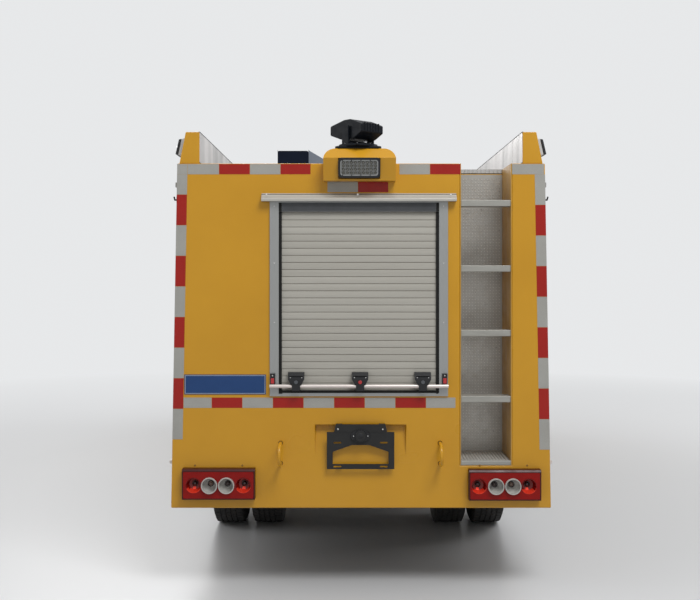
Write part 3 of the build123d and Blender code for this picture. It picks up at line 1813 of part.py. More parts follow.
with BuildPart() as cab_shell:
    add(cab_walls.part)
    for row in door_table.values():
        for side in (-1, 1):
            x0, x1 = sorted((side * cab_side_span[0], side * cab_side_span[1]))
            prism_x(door_outline(row, 0), x0, x1, Mode.SUBTRACT, door_corner)
    prism_y(
        screen_outline(0), hump_front_y, cab_front_y + 1, Mode.SUBTRACT, window_corner
    )
    floor_half = cab_half_width - cab_wall + 1
    floor_top = cab_floor_z + cab_floor_thickness
    block(
        (-floor_half, floor_half),
        (cab_rear_y + cab_wall - 1, cab_front_y - cab_wall + 1),
        (cab_floor_z, floor_top),
    )
    add(cab_skin, mode=Mode.INTERSECT)
    for row in door_table.values():
        for side in (-1, 1):
            near = cab_half_width - cab_wall - door_floor_gap
            x0, x1 = sorted((side * near, side * cab_side_span[1]))
            prism_x(door_outline(row, 0), x0, x1, Mode.SUBTRACT, door_corner)
    block(
        (-cab_half_width + cab_wall, cab_half_width - cab_wall),
        (cab_rear_y - 1, cab_rear_y + cab_wall + 1),
        (cab_bottom_z - 1, cab_floor_z),
        Mode.SUBTRACT,
    )
    block(
        (-hump_half_width, hump_half_width),
        (hump_rear_y, hump_front_y),
        (cab_floor_z, hump_top_z),
    )
    block(
        (-hump_half_width + hump_wall, hump_half_width - hump_wall),
        (hump_rear_y + hump_wall, hump_front_y - hump_wall),
        (cab_floor_z - 1, hump_top_z - hump_wall),
        Mode.SUBTRACT,
    )
    for side in (-1, 1):
        for place, row in door_table.items():
            for middle_z in hinge_heights[place]:
                add_hinge(row, side, middle_z, False)
        x0, x1 = sorted((side * tilt_arm_x, side * (tilt_arm_x + tilt_arm_width)))
        prism_x(
            [
                (tilt_pivot_y - tilt_arm_half, tilt_pivot_z - 20),
                (tilt_pivot_y - tilt_arm_root, cab_floor_z + 5),
                (tilt_pivot_y + tilt_arm_half, cab_floor_z + 5),
                (tilt_pivot_y + tilt_arm_half, tilt_pivot_z - 20),
            ],
            x0,
            x1,
        )
        rod(
            (x0 - 1, tilt_pivot_y, tilt_pivot_z),
            (x1 + 1, tilt_pivot_y, tilt_pivot_z),
            tilt_pin_radius + running_gap / 2,
            Mode.SUBTRACT,
        )
finish(cab_shell, "cab_shell")

glass_outer = cab_form(glass_depth, cab_bottom_z)
glass_inner = cab_form(glass_depth + glass_thickness, cab_bottom_z - 1)
with BuildPart() as glass_skin:
    add(glass_outer)
    add(glass_inner, mode=Mode.SUBTRACT)

with BuildPart() as windscreen:
    add(glass_skin.part)
    prism_y(
        screen_outline(fit),
        hump_front_y,
        cab_front_y + 1,
        Mode.INTERSECT,
        window_corner - fit,
    )
finish(windscreen, "windscreen")

for place, row in door_table.items():
    for side in (-1, 1):
        x0, x1 = sorted((side * cab_side_span[0], side * cab_side_span[1]))
        with BuildPart() as door:
            add(cab_walls.part)
            prism_x(
                door_outline(row, door_gap), x0, x1, Mode.INTERSECT, door_corner - door_gap
            )
            prism_x(window_outline(row, 0), x0, x1, Mode.SUBTRACT, window_corner)
            for middle_z in hinge_heights[place]:
                add_hinge(row, side, middle_z, True)
        finish(door, f"{place}_{side_name(side)}_door")
        with BuildPart() as door_glass:
            add(glass_skin.part)
            prism_x(
                window_outline(row, fit), x0, x1, Mode.INTERSECT, window_corner - fit
            )
        finish(door_glass, f"{place}_{side_name(side)}_door_glass")

# Lamps and grille on the cab's front, following its corners
with BuildPart() as front_skin:
    add(cab_form(-headlamp_reach, cab_bottom_z))
    add(cab_form(-fit, cab_bottom_z - 1), mode=Mode.SUBTRACT)

with BuildPart() as headlamps:
    add(front_skin.part)
    with BuildSketch(Plane.XZ.offset(-front_end_y)) as lamp_faces:
        for side in (-1, 1):
            with BuildLine():
                Polyline(
                    (side * headlamp_outer_x, headlamp_outer_z[0]),
                    (side * headlamp_outer_x, headlamp_outer_z[1]),
                    (side * headlamp_inner_x, headlamp_inner_z[1]),
                    (side * headlamp_inner_x, headlamp_inner_z[0]),
                    close=True,
                )
            make_face()
    lamp_depth = front_end_y - cab_front_y + headlamp_depth
    extrude(lamp_faces.sketch, amount=lamp_depth, mode=Mode.INTERSECT)
finish(headlamps, "headlamps")

with BuildPart() as grille:
    grille_y = cab_front_y + fit
    block(
        (-grille_half_width, grille_half_width),
        (grille_y, grille_y + grille_depth),
        (grille_bottom_z, grille_top_z),
    )
    slot_half = grille_half_width - grille_border
    for slot in range(grille_slots):
        slot_z = grille_bottom_z + grille_border + slot * grille_slot_pitch
        block(
            (-slot_half, slot_half),
            (grille_y + grille_back, grille_y + grille_depth + 1),
            (slot_z, slot_z + grille_slot_height),
            Mode.SUBTRACT,
        )
finish(grille, "grille")

# Mirrors on arms from the cab's front corners
with BuildPart() as mirrors:
    for side in (-1, 1):
        post_x = side * mirror_post_x
        for (foot_x, foot_y, foot_z), head_z in zip(
            (mirror_low_foot, mirror_high_foot), mirror_arm_z
        ):
            rod(
                (side * foot_x, foot_y, foot_z),
                (post_x, mirror_post_y, head_z),
                mirror_arm_radius,
            )
        rod(
            (post_x, mirror_post_y, mirror_post_z[0]),
            (post_x, mirror_post_y, mirror_post_z[1]),
            mirror_arm_radius + 1,
        )
        head_y = mirror_post_y + mirror_arm_radius + 3
        block(
            (side * mirror_head_x[0], side * mirror_head_x[1]),
            (head_y, head_y + mirror_head_depth),
            mirror_head_z,
        )
        block(
            (post_x - mirror_clamp_half, post_x + mirror_clamp_half),
            (mirror_post_y - 4, head_y + 4),
            mirror_clamp_z,
        )
    add(cab_form(-fit, cab_bottom_z), mode=Mode.SUBTRACT)
finish(mirrors, "mirrors")

# Light bar on the cab's roof, standing on four feet
with BuildPart() as light_bar:
    with BuildSketch(Plane.XY.offset(cab_roof_z)):
        with Locations((0, light_bar_y)):
            with GridLocations(2 * light_bar_foot_x, 0.5 * light_bar_depth, 2, 2):
                Rectangle(light_bar_foot_width, light_bar_foot_depth)
    extrude(amount=light_bar_stand)
    with BuildSketch(Plane.XY.offset(cab_roof_z + light_bar_stand)):
        with Locations((0, light_bar_y)):
            RectangleRounded(2 * light_bar_half, light_bar_depth, light_bar_corner)
    extrude(amount=light_bar_height)
finish(light_bar, "light_bar")

# Inside the cab: dashboard, steering wheel, seats
with BuildPart() as dashboard:
    prism_x(
        [
            (dash_front_y, floor_top + fit),
            (dash_front_y, cab_belt_z),
            (dash_front_y - 160, cab_belt_z + 40),
            (dash_knee_y + 15, cab_belt_z),
            (dash_knee_y, cab_belt_z - 140),
            (dash_front_y - 160, cab_belt_z - 200),
            (dash_front_y - 70, floor_top + fit),
        ],
        -dash_half_width,
        dash_half_width,
    )
finish(dashboard, "dashboard")

wheel_centre = Vector(steering_x, steering_y, steering_z)
column_dir = Vector(0, 0.62, -0.785)
with BuildPart() as steering_wheel:
    with Locations(Plane(origin=wheel_centre, z_dir=column_dir)):
        Torus(steering_radius, steering_rim)
        Cylinder(steering_boss_radius, steering_boss_height)
        Box(2 * steering_radius, steering_spoke, steering_rim)
        Box(steering_spoke, 2 * steering_radius, steering_rim)
    foot = wheel_centre + column_dir * steering_column_length
    rod(tuple(wheel_centre), tuple(foot), steering_column)
    add(dashboard.part, mode=Mode.SUBTRACT)
finish(steering_wheel, "steering_wheel")

# Seats, columns: left x, right x, base height, cushion's front y
front_seat_table = [
    (-745.0, -335.0, floor_top, seat_rear_y + 590.0),
    (-215.0, 215.0, hump_top_z, seat_rear_y + 560.0),
    (335.0, 745.0, floor_top, seat_rear_y + 590.0),
]
bench_rear_y = cab_rear_y + cab_wall + fit
with BuildPart() as front_seats:
    cushion_y = seat_rear_y + seat_back_depth
    cushion_z = seat_top_z - seat_cushion
    for x0, x1, base_z, front_y in front_seat_table:
        block(
            (x0 + seat_base_inset, x1 - seat_base_inset),
            (cushion_y, front_y - seat_base_setback),
            (base_z + fit, cushion_z),
        )
        block((x0, x1), (cushion_y, front_y), (cushion_z, seat_top_z))
        block(
            (x0, x1),
            (seat_rear_y, cushion_y - fit),
            (seat_top_z - seat_back_overlap, seat_back_top),
        )
finish(front_seats, "front_seats")

with BuildPart() as rear_bench:
    base_half = bench_half_width - 5
    block(
        (-base_half, base_half),
        (bench_rear_y, bench_base_front_y),
        (floor_top + fit, bench_seat_z[0]),
    )
    block((-bench_half_width, bench_half_width), (bench_back_y, bench_front_y), bench_seat_z)
    block(
        (-bench_half_width, bench_half_width),
        (bench_rear_y, bench_back_y - 1),
        (bench_seat_z[0], seat_back_top),
    )
finish(rear_bench, "rear_bench")
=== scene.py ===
import json
from math import cos, pi, radians, sin, tan

import bmesh
import bpy
from mathutils import Matrix, Vector


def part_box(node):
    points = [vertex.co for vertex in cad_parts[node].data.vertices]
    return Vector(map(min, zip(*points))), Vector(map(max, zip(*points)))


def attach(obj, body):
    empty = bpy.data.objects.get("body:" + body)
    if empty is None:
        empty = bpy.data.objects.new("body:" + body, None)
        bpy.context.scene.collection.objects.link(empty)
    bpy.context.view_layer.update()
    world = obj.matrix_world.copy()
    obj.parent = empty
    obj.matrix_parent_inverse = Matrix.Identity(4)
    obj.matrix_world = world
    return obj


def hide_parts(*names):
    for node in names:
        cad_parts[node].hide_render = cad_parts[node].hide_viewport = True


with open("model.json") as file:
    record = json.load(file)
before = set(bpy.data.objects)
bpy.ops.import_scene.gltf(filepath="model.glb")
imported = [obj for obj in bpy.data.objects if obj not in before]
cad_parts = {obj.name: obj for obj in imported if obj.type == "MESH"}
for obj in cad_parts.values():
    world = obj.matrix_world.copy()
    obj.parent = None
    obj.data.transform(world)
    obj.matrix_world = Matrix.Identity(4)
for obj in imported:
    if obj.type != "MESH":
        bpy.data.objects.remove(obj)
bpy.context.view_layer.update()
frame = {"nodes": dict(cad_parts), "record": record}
cadNodes = frame["nodes"]
print("frame loaded:", len(cadNodes), "nodes")

# Camera: straight behind the truck at eye height, as the photograph was taken
camera = {
    "place": (-0.061, -7.89, 1.537),
    "lens": 52.46,
    "shift": (0.002, -0.034),
}
cameraData = bpy.data.cameras.new("camera")
cameraData.lens = camera["lens"]
cameraData.shift_x, cameraData.shift_y = camera["shift"]
cameraObject = bpy.data.objects.new("camera", cameraData)
cameraObject.location = camera["place"]
cameraObject.rotation_euler = (radians(90), 0, 0)
bpy.context.scene.collection.objects.link(cameraObject)
bpy.context.scene.camera = cameraObject
bpy.context.scene.view_settings.view_transform = "Standard"

# Bmesh helpers: most add one shape to an open bmesh
backwards, forwards, upwards = (0, -1, 0), (0, 1, 0), (0, 0, 1)


def addBlock(bm, low, high):
    low, high = Vector(low), Vector(high)
    size = high - low
    matrix = Matrix.Translation((low + high) / 2) @ Matrix.Diagonal((*size, 1.0))
    return bmesh.ops.create_cube(bm, size=1.0, matrix=matrix)["verts"]


def addRod(bm, start, end, radius, segments=24, endRadius=None):
    start, end = Vector(start), Vector(end)
    turn = (end - start).to_track_quat("Z", "Y").to_matrix().to_4x4()
    return bmesh.ops.create_cone(
        bm, cap_ends=True, segments=segments, radius1=radius,
        radius2=radius if endRadius is None else endRadius,
        depth=(end - start).length, matrix=Matrix.Translation((start + end) / 2) @ turn,
    )["verts"]


def pushOut(bm, faces, move):
    # extrudes faces and gives the vertices that moved
    grown = bmesh.ops.extrude_face_region(bm, geom=faces)["geom"]
    moved = [g for g in grown if isinstance(g, bmesh.types.BMVert)]
    bmesh.ops.translate(bm, verts=moved, vec=move)
    return moved


def addPrism(bm, outline, move):
    corners = [bm.verts.new(point) for point in outline]
    return corners + pushOut(bm, [bm.faces.new(corners)], move)


def fillLoops(bm, loops):
    # a flat sheet between the outer loop and the loops inside it
    edges = []
    for loop in loops:
        points = [bm.verts.new(point) for point in loop]
        edges += [bm.edges.new((points[i - 1], points[i])) for i in range(len(points))]
    filled = bmesh.ops.triangle_fill(bm, use_beauty=True, use_dissolve=False, edges=edges)["geom"]
    return [g for g in filled if isinstance(g, bmesh.types.BMFace)]


def addSpun(bm, profile, centre, axis, steps=48):
    # profile: (distance along the axis, radius) pairs, closed by the spin when they end on it
    axis = Vector(axis).normalized()
    side = axis.orthogonal().normalized()
    points = [bm.verts.new(Vector(centre) + axis * along + side * radius) for along, radius in profile]
    edges = [bm.edges.new(pair) for pair in zip(points, points[1:])]
    spun = bmesh.ops.spin(
        bm, geom=points + edges, cent=centre, axis=axis, angle=2 * pi, steps=steps,
        use_merge=True, use_duplicate=False,
    )
    bmesh.ops.remove_doubles(bm, verts=bm.verts[:], dist=1e-6)
    return spun


def addDome(bm, centre, axis, radius, height, rings=6, steps=24, base=0.0):
    # a shallow dome standing on a short wall of height base
    profile = [(0.0, radius), (base, radius)]
    for ring in range(1, rings + 1):
        turn = ring / rings * pi / 2
        profile.append((base + (height - base) * sin(turn), radius * cos(turn)))
    return addSpun(bm, profile, centre, axis, steps)


def mergeInto(bm, part):
    # adds a finished bmesh to another and lets go of it
    mesh = bpy.data.meshes.new("part")
    part.to_mesh(mesh)
    part.free()
    bm.from_mesh(mesh)
    bpy.data.meshes.remove(mesh)


def spanOf(side, a, b):
    # the low and high X of a piece on one side of the truck
    return sorted((side * a, side * b))


def borderBars(a0, c0, a1, c1, wide):
    # four bars just inside a rectangle
    return (
        (a0, c0, a1, c0 + wide), (a0, c1 - wide, a1, c1),
        (a0, c0 + wide, a0 + wide, c1 - wide), (a1 - wide, c0 + wide, a1, c1 - wide),
    )


def paintBands(piece, planes, pick):
    # cuts a piece at the planes, then pick(middle) says which material each face has
    cut = bmesh.new()
    cut.from_mesh(piece.data)
    for point, normal in planes:
        bmesh.ops.bisect_plane(
            cut, geom=cut.verts[:] + cut.edges[:] + cut.faces[:], dist=1e-5,
            plane_co=point, plane_no=normal,
        )
    for face in cut.faces:
        face.material_index = pick(face.calc_center_median())
    cut.to_mesh(piece.data)
    cut.free()


def bevelEdges(bm, width, segments=2, sharpest=28):
    edges = [e for e in bm.edges if e.is_manifold and e.calc_face_angle(0.0) > radians(sharpest)]
    bmesh.ops.bevel(
        bm, geom=edges, offset=width, segments=segments, profile=0.5, affect="EDGES",
        material=-1, clamp_overlap=True,
    )


def finishPiece(bm, name, finish, body, bevel=0.0, segments=2, smooth=35, replaces=()):
    if bevel:
        bevelEdges(bm, bevel, segments)
    bmesh.ops.recalc_face_normals(bm, faces=bm.faces[:])
    mesh = bpy.data.meshes.new(name)
    bm.to_mesh(mesh)
    bm.free()
    mesh.shade_smooth()
    mesh.set_sharp_from_angle(angle=radians(smooth))
    piece = bpy.data.objects.new(name, mesh)
    bpy.context.scene.collection.objects.link(piece)
    for each in finish if isinstance(finish, tuple) else (finish,):
        mesh.materials.append(each.material)
    weights = piece.modifiers.new("flatNormals", "WEIGHTED_NORMAL")
    weights.keep_sharp = True
    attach(piece, body)
    if replaces:
        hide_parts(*replaces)
    return piece


def softCopy(node, name, finish, body, bevel, segments=2, flat=0.4, smooth=32):
    # the node's own form, with its sharp edges rounded
    bm = bmesh.new()
    bm.from_mesh(cadNodes[node].data)
    bmesh.ops.remove_doubles(bm, verts=bm.verts[:], dist=1e-5)
    bmesh.ops.dissolve_limit(
        bm, angle_limit=radians(flat), verts=bm.verts[:], edges=bm.edges[:], delimit=set(),
    )
    bevelEdges(bm, bevel, segments)
    return finishPiece(bm, name, finish, body, smooth=smooth, replaces=(node,))


class Finish:
    # one node material and helpers for its nodes; coords are the piece's Object coordinates
    def __init__(self, name, colour=(0.5, 0.5, 0.5), **sockets):
        self.material = bpy.data.materials.new(name)
        self.material.use_nodes = True
        self.tree = self.material.node_tree
        self.shader = self.tree.nodes["Principled BSDF"]
        self.shader.inputs["Base Color"].default_value = (*colour, 1.0)
        for key, value in sockets.items():
            self.shader.inputs[key.replace("_", " ")].default_value = value
        self.coords = self.tree.nodes.new("ShaderNodeTexCoord").outputs["Object"]
        self.height = None

    def add(self, kind, **settings):
        node = self.tree.nodes.new("ShaderNode" + kind)
        for key, value in settings.items():
            setattr(node, key, value)
        return node

    def link(self, start, end):
        self.tree.links.new(start, end)

    def stretched(self, scale, turn=(0, 0, 0)):
        mapping = self.add("Mapping")
        mapping.inputs["Scale"].default_value = scale
        mapping.inputs["Rotation"].default_value = turn
        self.link(self.coords, mapping.inputs["Vector"])
        return mapping.outputs["Vector"]

    def noise(self, scale, detail=3.0, coords=None, rough=0.55):
        node = self.add("TexNoise")
        node.inputs["Scale"].default_value = scale
        node.inputs["Detail"].default_value = detail
        node.inputs["Roughness"].default_value = rough
        self.link(coords or self.coords, node.inputs["Vector"])
        return node.outputs["Fac"]

    def axis(self, letter, coords=None):
        node = self.add("SeparateXYZ")
        self.link(coords or self.coords, node.inputs["Vector"])
        return node.outputs[letter]

    def math(self, operation, *values, clamp=False):
        node = self.add("Math", operation=operation, use_clamp=clamp)
        for socket, value in zip(node.inputs, values):
            if isinstance(value, (int, float)):
                socket.default_value = value
            else:
                self.link(value, socket)
        return node.outputs[0]

    def spread(self, value, low, high, toLow=0.0, toHigh=1.0):
        node = self.add("MapRange", clamp=True)
        for key, number in (("From Min", low), ("From Max", high), ("To Min", toLow), ("To Max", toHigh)):
            node.inputs[key].default_value = number
        self.link(value, node.inputs["Value"])
        return node.outputs["Result"]

    def mix(self, factor, first, second):
        node = self.add("Mix", data_type="RGBA")
        self.link(factor, node.inputs["Factor"])
        for key, value in (("A", first), ("B", second)):
            socket = [s for s in node.inputs if s.name == key and s.type == "RGBA"][0]
            if isinstance(value, tuple):
                socket.default_value = (*value, 1.0)
            else:
                self.link(value, socket)
        return [s for s in node.outputs if s.type == "RGBA"][0]

    def colour(self, value):
        self.link(value, self.shader.inputs["Base Color"])
        return self

    def roughness(self, value, low, high):
        self.link(self.spread(value, 0.3, 0.7, low, high), self.shader.inputs["Roughness"])
        return self

    def bump(self, value, distance, strength=0.5):
        node = self.add("Bump")
        node.inputs["Strength"].default_value = strength
        node.inputs["Distance"].default_value = distance
        self.link(value, node.inputs["Height"])
        if self.height:
            self.link(self.height, node.inputs["Normal"])
        self.height = node.outputs["Normal"]
        self.link(self.height, self.shader.inputs["Normal"])
        return self


def dusted(finish, colour, dust=(0.30, 0.27, 0.23), top=0.75, most=0.35):
    # road dust that thins out upwards, broken up by noise
    low = finish.spread(finish.axis("Z"), 0.0, top, 1.0, 0.0)
    patches = finish.spread(finish.noise(6.0, 6.0), 0.15, 0.95)
    amount = finish.math("MULTIPLY", finish.math("MULTIPLY", low, patches), most)
    return finish.mix(amount, colour, dust)


# Paint, metals, plastics
yellow = Finish("yellowPaint", Coat_Weight=0.2, Coat_Roughness=0.08, Specular_IOR_Level=0.3)
yellowTone = yellow.mix(
    yellow.spread(yellow.noise(1.7, 4.0), 0.3, 0.7), (0.505, 0.248, 0.010), (0.560, 0.282, 0.014),
)
yellowSpeck = yellow.mix(
    yellow.spread(yellow.noise(160.0, 2.0), 0.62, 0.8, 0.0, 0.06), yellowTone, (0.44, 0.212, 0.009),
)
yellow.colour(dusted(yellow, yellowSpeck, top=0.7, most=0.10))
yellow.roughness(yellow.noise(3.5, 2.0), 0.27, 0.36)
yellow.bump(yellow.noise(2.2, 2.0), 0.004, 0.10).bump(yellow.noise(300.0, 1.0), 0.00003, 0.15)

# Ladder recess walls: the body's yellow paint made darker and browner, a painted shade of the recess
recessPaintedShade = Finish("recessSheet", Coat_Weight=0.2, Coat_Roughness=0.2)
recessPaintedShadeTone = recessPaintedShade.mix(
    recessPaintedShade.spread(recessPaintedShade.noise(4.0, 5.0), 0.3, 0.7), (0.43, 0.225, 0.022), (0.52, 0.285, 0.035),
)
recessPaintedShade.colour(dusted(recessPaintedShade, recessPaintedShadeTone, top=1.4, most=0.4))
recessPaintedShade.roughness(recessPaintedShade.noise(12.0, 4.0), 0.35, 0.55)
recessPaintedShade.bump(recessPaintedShade.noise(300.0, 2.0), 0.0002, 0.4)

alloy = Finish("anodisedProfile", Metallic=0.55)
alloyGrain = alloy.noise(30.0, 3.0, alloy.stretched((18.0, 18.0, 0.6)))
alloy.colour(alloy.mix(alloyGrain, (0.275, 0.282, 0.280), (0.345, 0.350, 0.343)))
alloy.roughness(alloyGrain, 0.30, 0.46)
alloy.bump(alloyGrain, 0.0002, 0.25)

gutterAlloy = Finish("gutterProfile", Metallic=0.3)
gutterGrain = gutterAlloy.noise(30.0, 3.0, gutterAlloy.stretched((0.6, 18.0, 18.0)))
gutterAlloy.colour(gutterAlloy.mix(gutterGrain, (0.40, 0.387, 0.350), (0.475, 0.460, 0.42)))
gutterAlloy.roughness(gutterGrain, 0.32, 0.5)
gutterAlloy.bump(gutterGrain, 0.0002, 0.25)

chequer = Finish("chequerPlate", Metallic=0.5)
chequerTone = chequer.noise(6.0, 5.0)
chequer.colour(chequer.mix(chequerTone, (0.30, 0.295, 0.275), (0.42, 0.41, 0.385)))
chequer.roughness(chequer.noise(25.0, 4.0), 0.34, 0.55)
chequer.bump(chequer.noise(220.0, 2.0), 0.0003, 0.35)

# the raised diamonds take a lighter colour than the sheet: a painted highlight on their tops
diamond = Finish("chequerDiamonds", Metallic=0.6)
diamond.colour(diamond.mix(diamond.noise(7.0, 4.0), (0.42, 0.41, 0.39), (0.62, 0.61, 0.58)))
diamond.roughness(diamond.noise(25.0, 4.0), 0.26, 0.4)

deckPlate = Finish("deckPlate", Metallic=0.7)
for turn in (45, -45):
    along = deckPlate.stretched((34.0, 11.0, 11.0), (0, 0, radians(turn)))
    bars = deckPlate.add("TexVoronoi", distance="CHEBYCHEV")
    bars.inputs["Scale"].default_value = 1.0
    bars.inputs["Randomness"].default_value = 0.0
    deckPlate.link(along, bars.inputs["Vector"])
    deckPlate.bump(deckPlate.spread(bars.outputs["Distance"], 0.28, 0.38, 1.0, 0.0), 0.0012, 0.5)
deckPlate.colour(deckPlate.mix(deckPlate.noise(3.0, 6.0), (0.36, 0.36, 0.36), (0.52, 0.52, 0.51)))
deckPlate.roughness(deckPlate.noise(14.0, 4.0), 0.38, 0.6)

tread = Finish("treadSheet", Metallic=0.35)
treadTone = tread.noise(9.0, 5.0, tread.stretched((1.0, 6.0, 6.0)))
tread.colour(tread.mix(treadTone, (0.27, 0.265, 0.24), (0.36, 0.355, 0.325)))
tread.roughness(treadTone, 0.34, 0.5)
tread.bump(tread.noise(260.0, 2.0), 0.0002, 0.3)

slat = Finish("curtainSlats", Metallic=0.1, Specular_IOR_Level=0.2)
slatTone = slat.noise(2.5, 3.0, slat.stretched((0.25, 0.25, 11.0)))
slat.colour(slat.mix(slat.spread(slatTone, 0.3, 0.7), (0.365, 0.350, 0.312), (0.425, 0.410, 0.368)))
slat.roughness(slat.noise(40.0, 3.0, slat.stretched((0.5, 0.5, 8.0))), 0.36, 0.5)
slat.bump(slat.noise(500.0, 1.0), 0.0001, 0.3)

slatGap = Finish("slatJoint", Roughness=0.6)
slatGap.colour(slatGap.mix(slatGap.noise(60.0, 3.0), (0.20, 0.175, 0.14), (0.28, 0.25, 0.205)))
slatGap.bump(slatGap.noise(400.0, 2.0), 0.0002, 0.4)


def plasticFinish(name, dark, light, low=0.35, high=0.55, grain=700.0, depth=0.00015, **sockets):
    finish = Finish(name, **sockets)
    finish.colour(finish.mix(finish.noise(18.0, 4.0), dark, light))
    finish.roughness(finish.noise(35.0, 4.0), low, high)
    return finish.bump(finish.noise(grain, 2.0), depth, 0.5)


blackPlastic = plasticFinish(
    "blackPlastic", (0.006, 0.006, 0.007), (0.016, 0.016, 0.018), 0.42, 0.6, Specular_IOR_Level=0.35,
)
sealRubber = plasticFinish(
    "sealRubber", (0.006, 0.006, 0.006), (0.014, 0.014, 0.013), 0.6, 0.8, Specular_IOR_Level=0.2,
)
greyPlastic = plasticFinish("greyPlastic", (0.055, 0.060, 0.070), (0.085, 0.090, 0.100), 0.4, 0.58)
headerGrey = plasticFinish("headerStrip", (0.035, 0.038, 0.042), (0.060, 0.064, 0.070), 0.45, 0.6)
bracketGrey = plasticFinish(
    "bracketPaint", (0.010, 0.010, 0.010), (0.021, 0.021, 0.021), 0.45, 0.6, 300.0, Specular_IOR_Level=0.3,
)
chassisBlack = plasticFinish(
    "chassisPaint", (0.014, 0.014, 0.014), (0.040, 0.037, 0.034), 0.45, 0.75, 120.0, 0.0006,
)
castIron = plasticFinish("castIron", (0.045, 0.045, 0.046), (0.090, 0.085, 0.080), 0.5, 0.8, 90.0, 0.0010)
boltSteel = plasticFinish(
    "boltSteel", (0.42, 0.42, 0.42), (0.58, 0.57, 0.56), 0.28, 0.45, 300.0, 0.0001, Metallic=0.9,
)
exhaustSteel = plasticFinish(
    "exhaustSteel", (0.16, 0.13, 0.11), (0.32, 0.28, 0.25), 0.4, 0.7, 120.0, 0.0004, Metallic=0.7,
)
wheelSilver = plasticFinish(
    "wheelPaint", (0.46, 0.47, 0.48), (0.56, 0.57, 0.58), 0.3, 0.5, 260.0, 0.0001, Metallic=0.35,
)
redPlastic = plasticFinish("redInsert", (0.36, 0.018, 0.020), (0.50, 0.032, 0.035), 0.3, 0.45)
barAlloy = plasticFinish(
    "barProfile", (0.62, 0.56, 0.53), (0.68, 0.62, 0.59), 0.30, 0.36, 400.0, 0.00003, Metallic=0.35,
)
signBlue = plasticFinish(
    "signPlate", (0.010, 0.042, 0.140), (0.014, 0.052, 0.165), 0.35, 0.5, 350.0, 0.0001,
    Specular_IOR_Level=0.3,
)
signEdge = plasticFinish("signBorder", (0.26, 0.30, 0.36), (0.33, 0.37, 0.43), 0.35, 0.45)
rubber = plasticFinish(
    "tyreRubber", (0.014, 0.014, 0.014), (0.034, 0.032, 0.030), 0.62, 0.85, 500.0, 0.0004,
)

glass = Finish("safetyGlass", (0.62, 0.70, 0.68), Roughness=0.03, Transmission_Weight=1.0, IOR=1.45)
glass.bump(glass.noise(3.0, 2.0), 0.0006, 0.08)
clearLens = Finish("clearLens", (0.93, 0.94, 0.95), Roughness=0.04, Transmission_Weight=1.0, IOR=1.45)
clearLens.bump(clearLens.noise(90.0, 1.0), 0.0004, 0.15)

redLens = Finish("redLens", Roughness=0.12, Coat_Weight=0.8, Coat_Roughness=0.04, Transmission_Weight=0.25)
redLens.colour(redLens.mix(redLens.noise(45.0, 2.0), (0.52, 0.016, 0.012), (0.70, 0.045, 0.022)))
redLens.bump(redLens.noise(160.0, 1.0), 0.0006, 0.4)
lampRed = Finish(
    "lampHousing", Roughness=0.3, Coat_Weight=0.1, Coat_Roughness=0.08, Specular_IOR_Level=0.15,
)
lampRed.colour(lampRed.mix(lampRed.noise(22.0, 3.0), (0.180, 0.002, 0.001), (0.275, 0.004, 0.002)))
lampRed.bump(lampRed.noise(350.0, 1.0), 0.0002, 0.3)
beaconRed = Finish(
    "beaconCover", Roughness=0.1, Coat_Weight=0.8, Coat_Roughness=0.05, Transmission_Weight=0.35,
)
beaconRed.colour(beaconRed.mix(beaconRed.noise(14.0, 2.0), (0.50, 0.012, 0.010), (0.66, 0.030, 0.018)))
ribs = beaconRed.math("SINE", beaconRed.math("MULTIPLY", beaconRed.axis("X"), 420.0))
beaconRed.bump(ribs, 0.0012, 0.5)
reflector = Finish("bowlReflector", Metallic=1.0, Roughness=0.14)
reflector.colour(reflector.mix(reflector.noise(70.0, 2.0), (0.72, 0.72, 0.72), (0.88, 0.88, 0.87)))
reflector.bump(reflector.noise(120.0, 1.0), 0.0005, 0.3)
# lower faces of the red tail-lamp bowls: bright red, a painted highlight where they face up towards the
# light
emberReflector = Finish("emberReflector", Metallic=0.4, Roughness=0.25)
bowlPaintedHighlightTone = emberReflector.mix(emberReflector.noise(90.0, 2.0), (0.80, 0.020, 0.008), (1.0, 0.090, 0.040))
emberReflector.colour(bowlPaintedHighlightTone)
emberReflector.bump(emberReflector.noise(120.0, 1.0), 0.0005, 0.3)
bulbAmber = Finish("bulbAmber", Roughness=0.2, Coat_Weight=0.6)
bulbAmber.colour(bulbAmber.mix(bulbAmber.noise(80.0, 2.0), (0.090, 0.045, 0.028), (0.15, 0.080, 0.050)))
bulbClear = Finish("bulbFrosted", Roughness=0.25, Coat_Weight=0.5)
bulbClear.colour(bulbClear.mix(bulbClear.noise(80.0, 2.0), (0.72, 0.72, 0.70), (0.85, 0.84, 0.82)))
ledChip = Finish("ledChip", Roughness=0.3)
ledChip.colour(ledChip.mix(ledChip.noise(300.0, 1.0), (0.46, 0.45, 0.38), (0.58, 0.57, 0.50)))
ledCup = Finish("ledCup", Metallic=0.6, Roughness=0.3)
ledCup.colour(ledCup.mix(ledCup.noise(160.0, 2.0), (0.17, 0.17, 0.165), (0.27, 0.27, 0.26)))

bulbDark = plasticFinish(
    "bulbDark", (0.012, 0.004, 0.004), (0.030, 0.008, 0.007), 0.2, 0.35, 120.0, 0.0003, Coat_Weight=0.3,
)
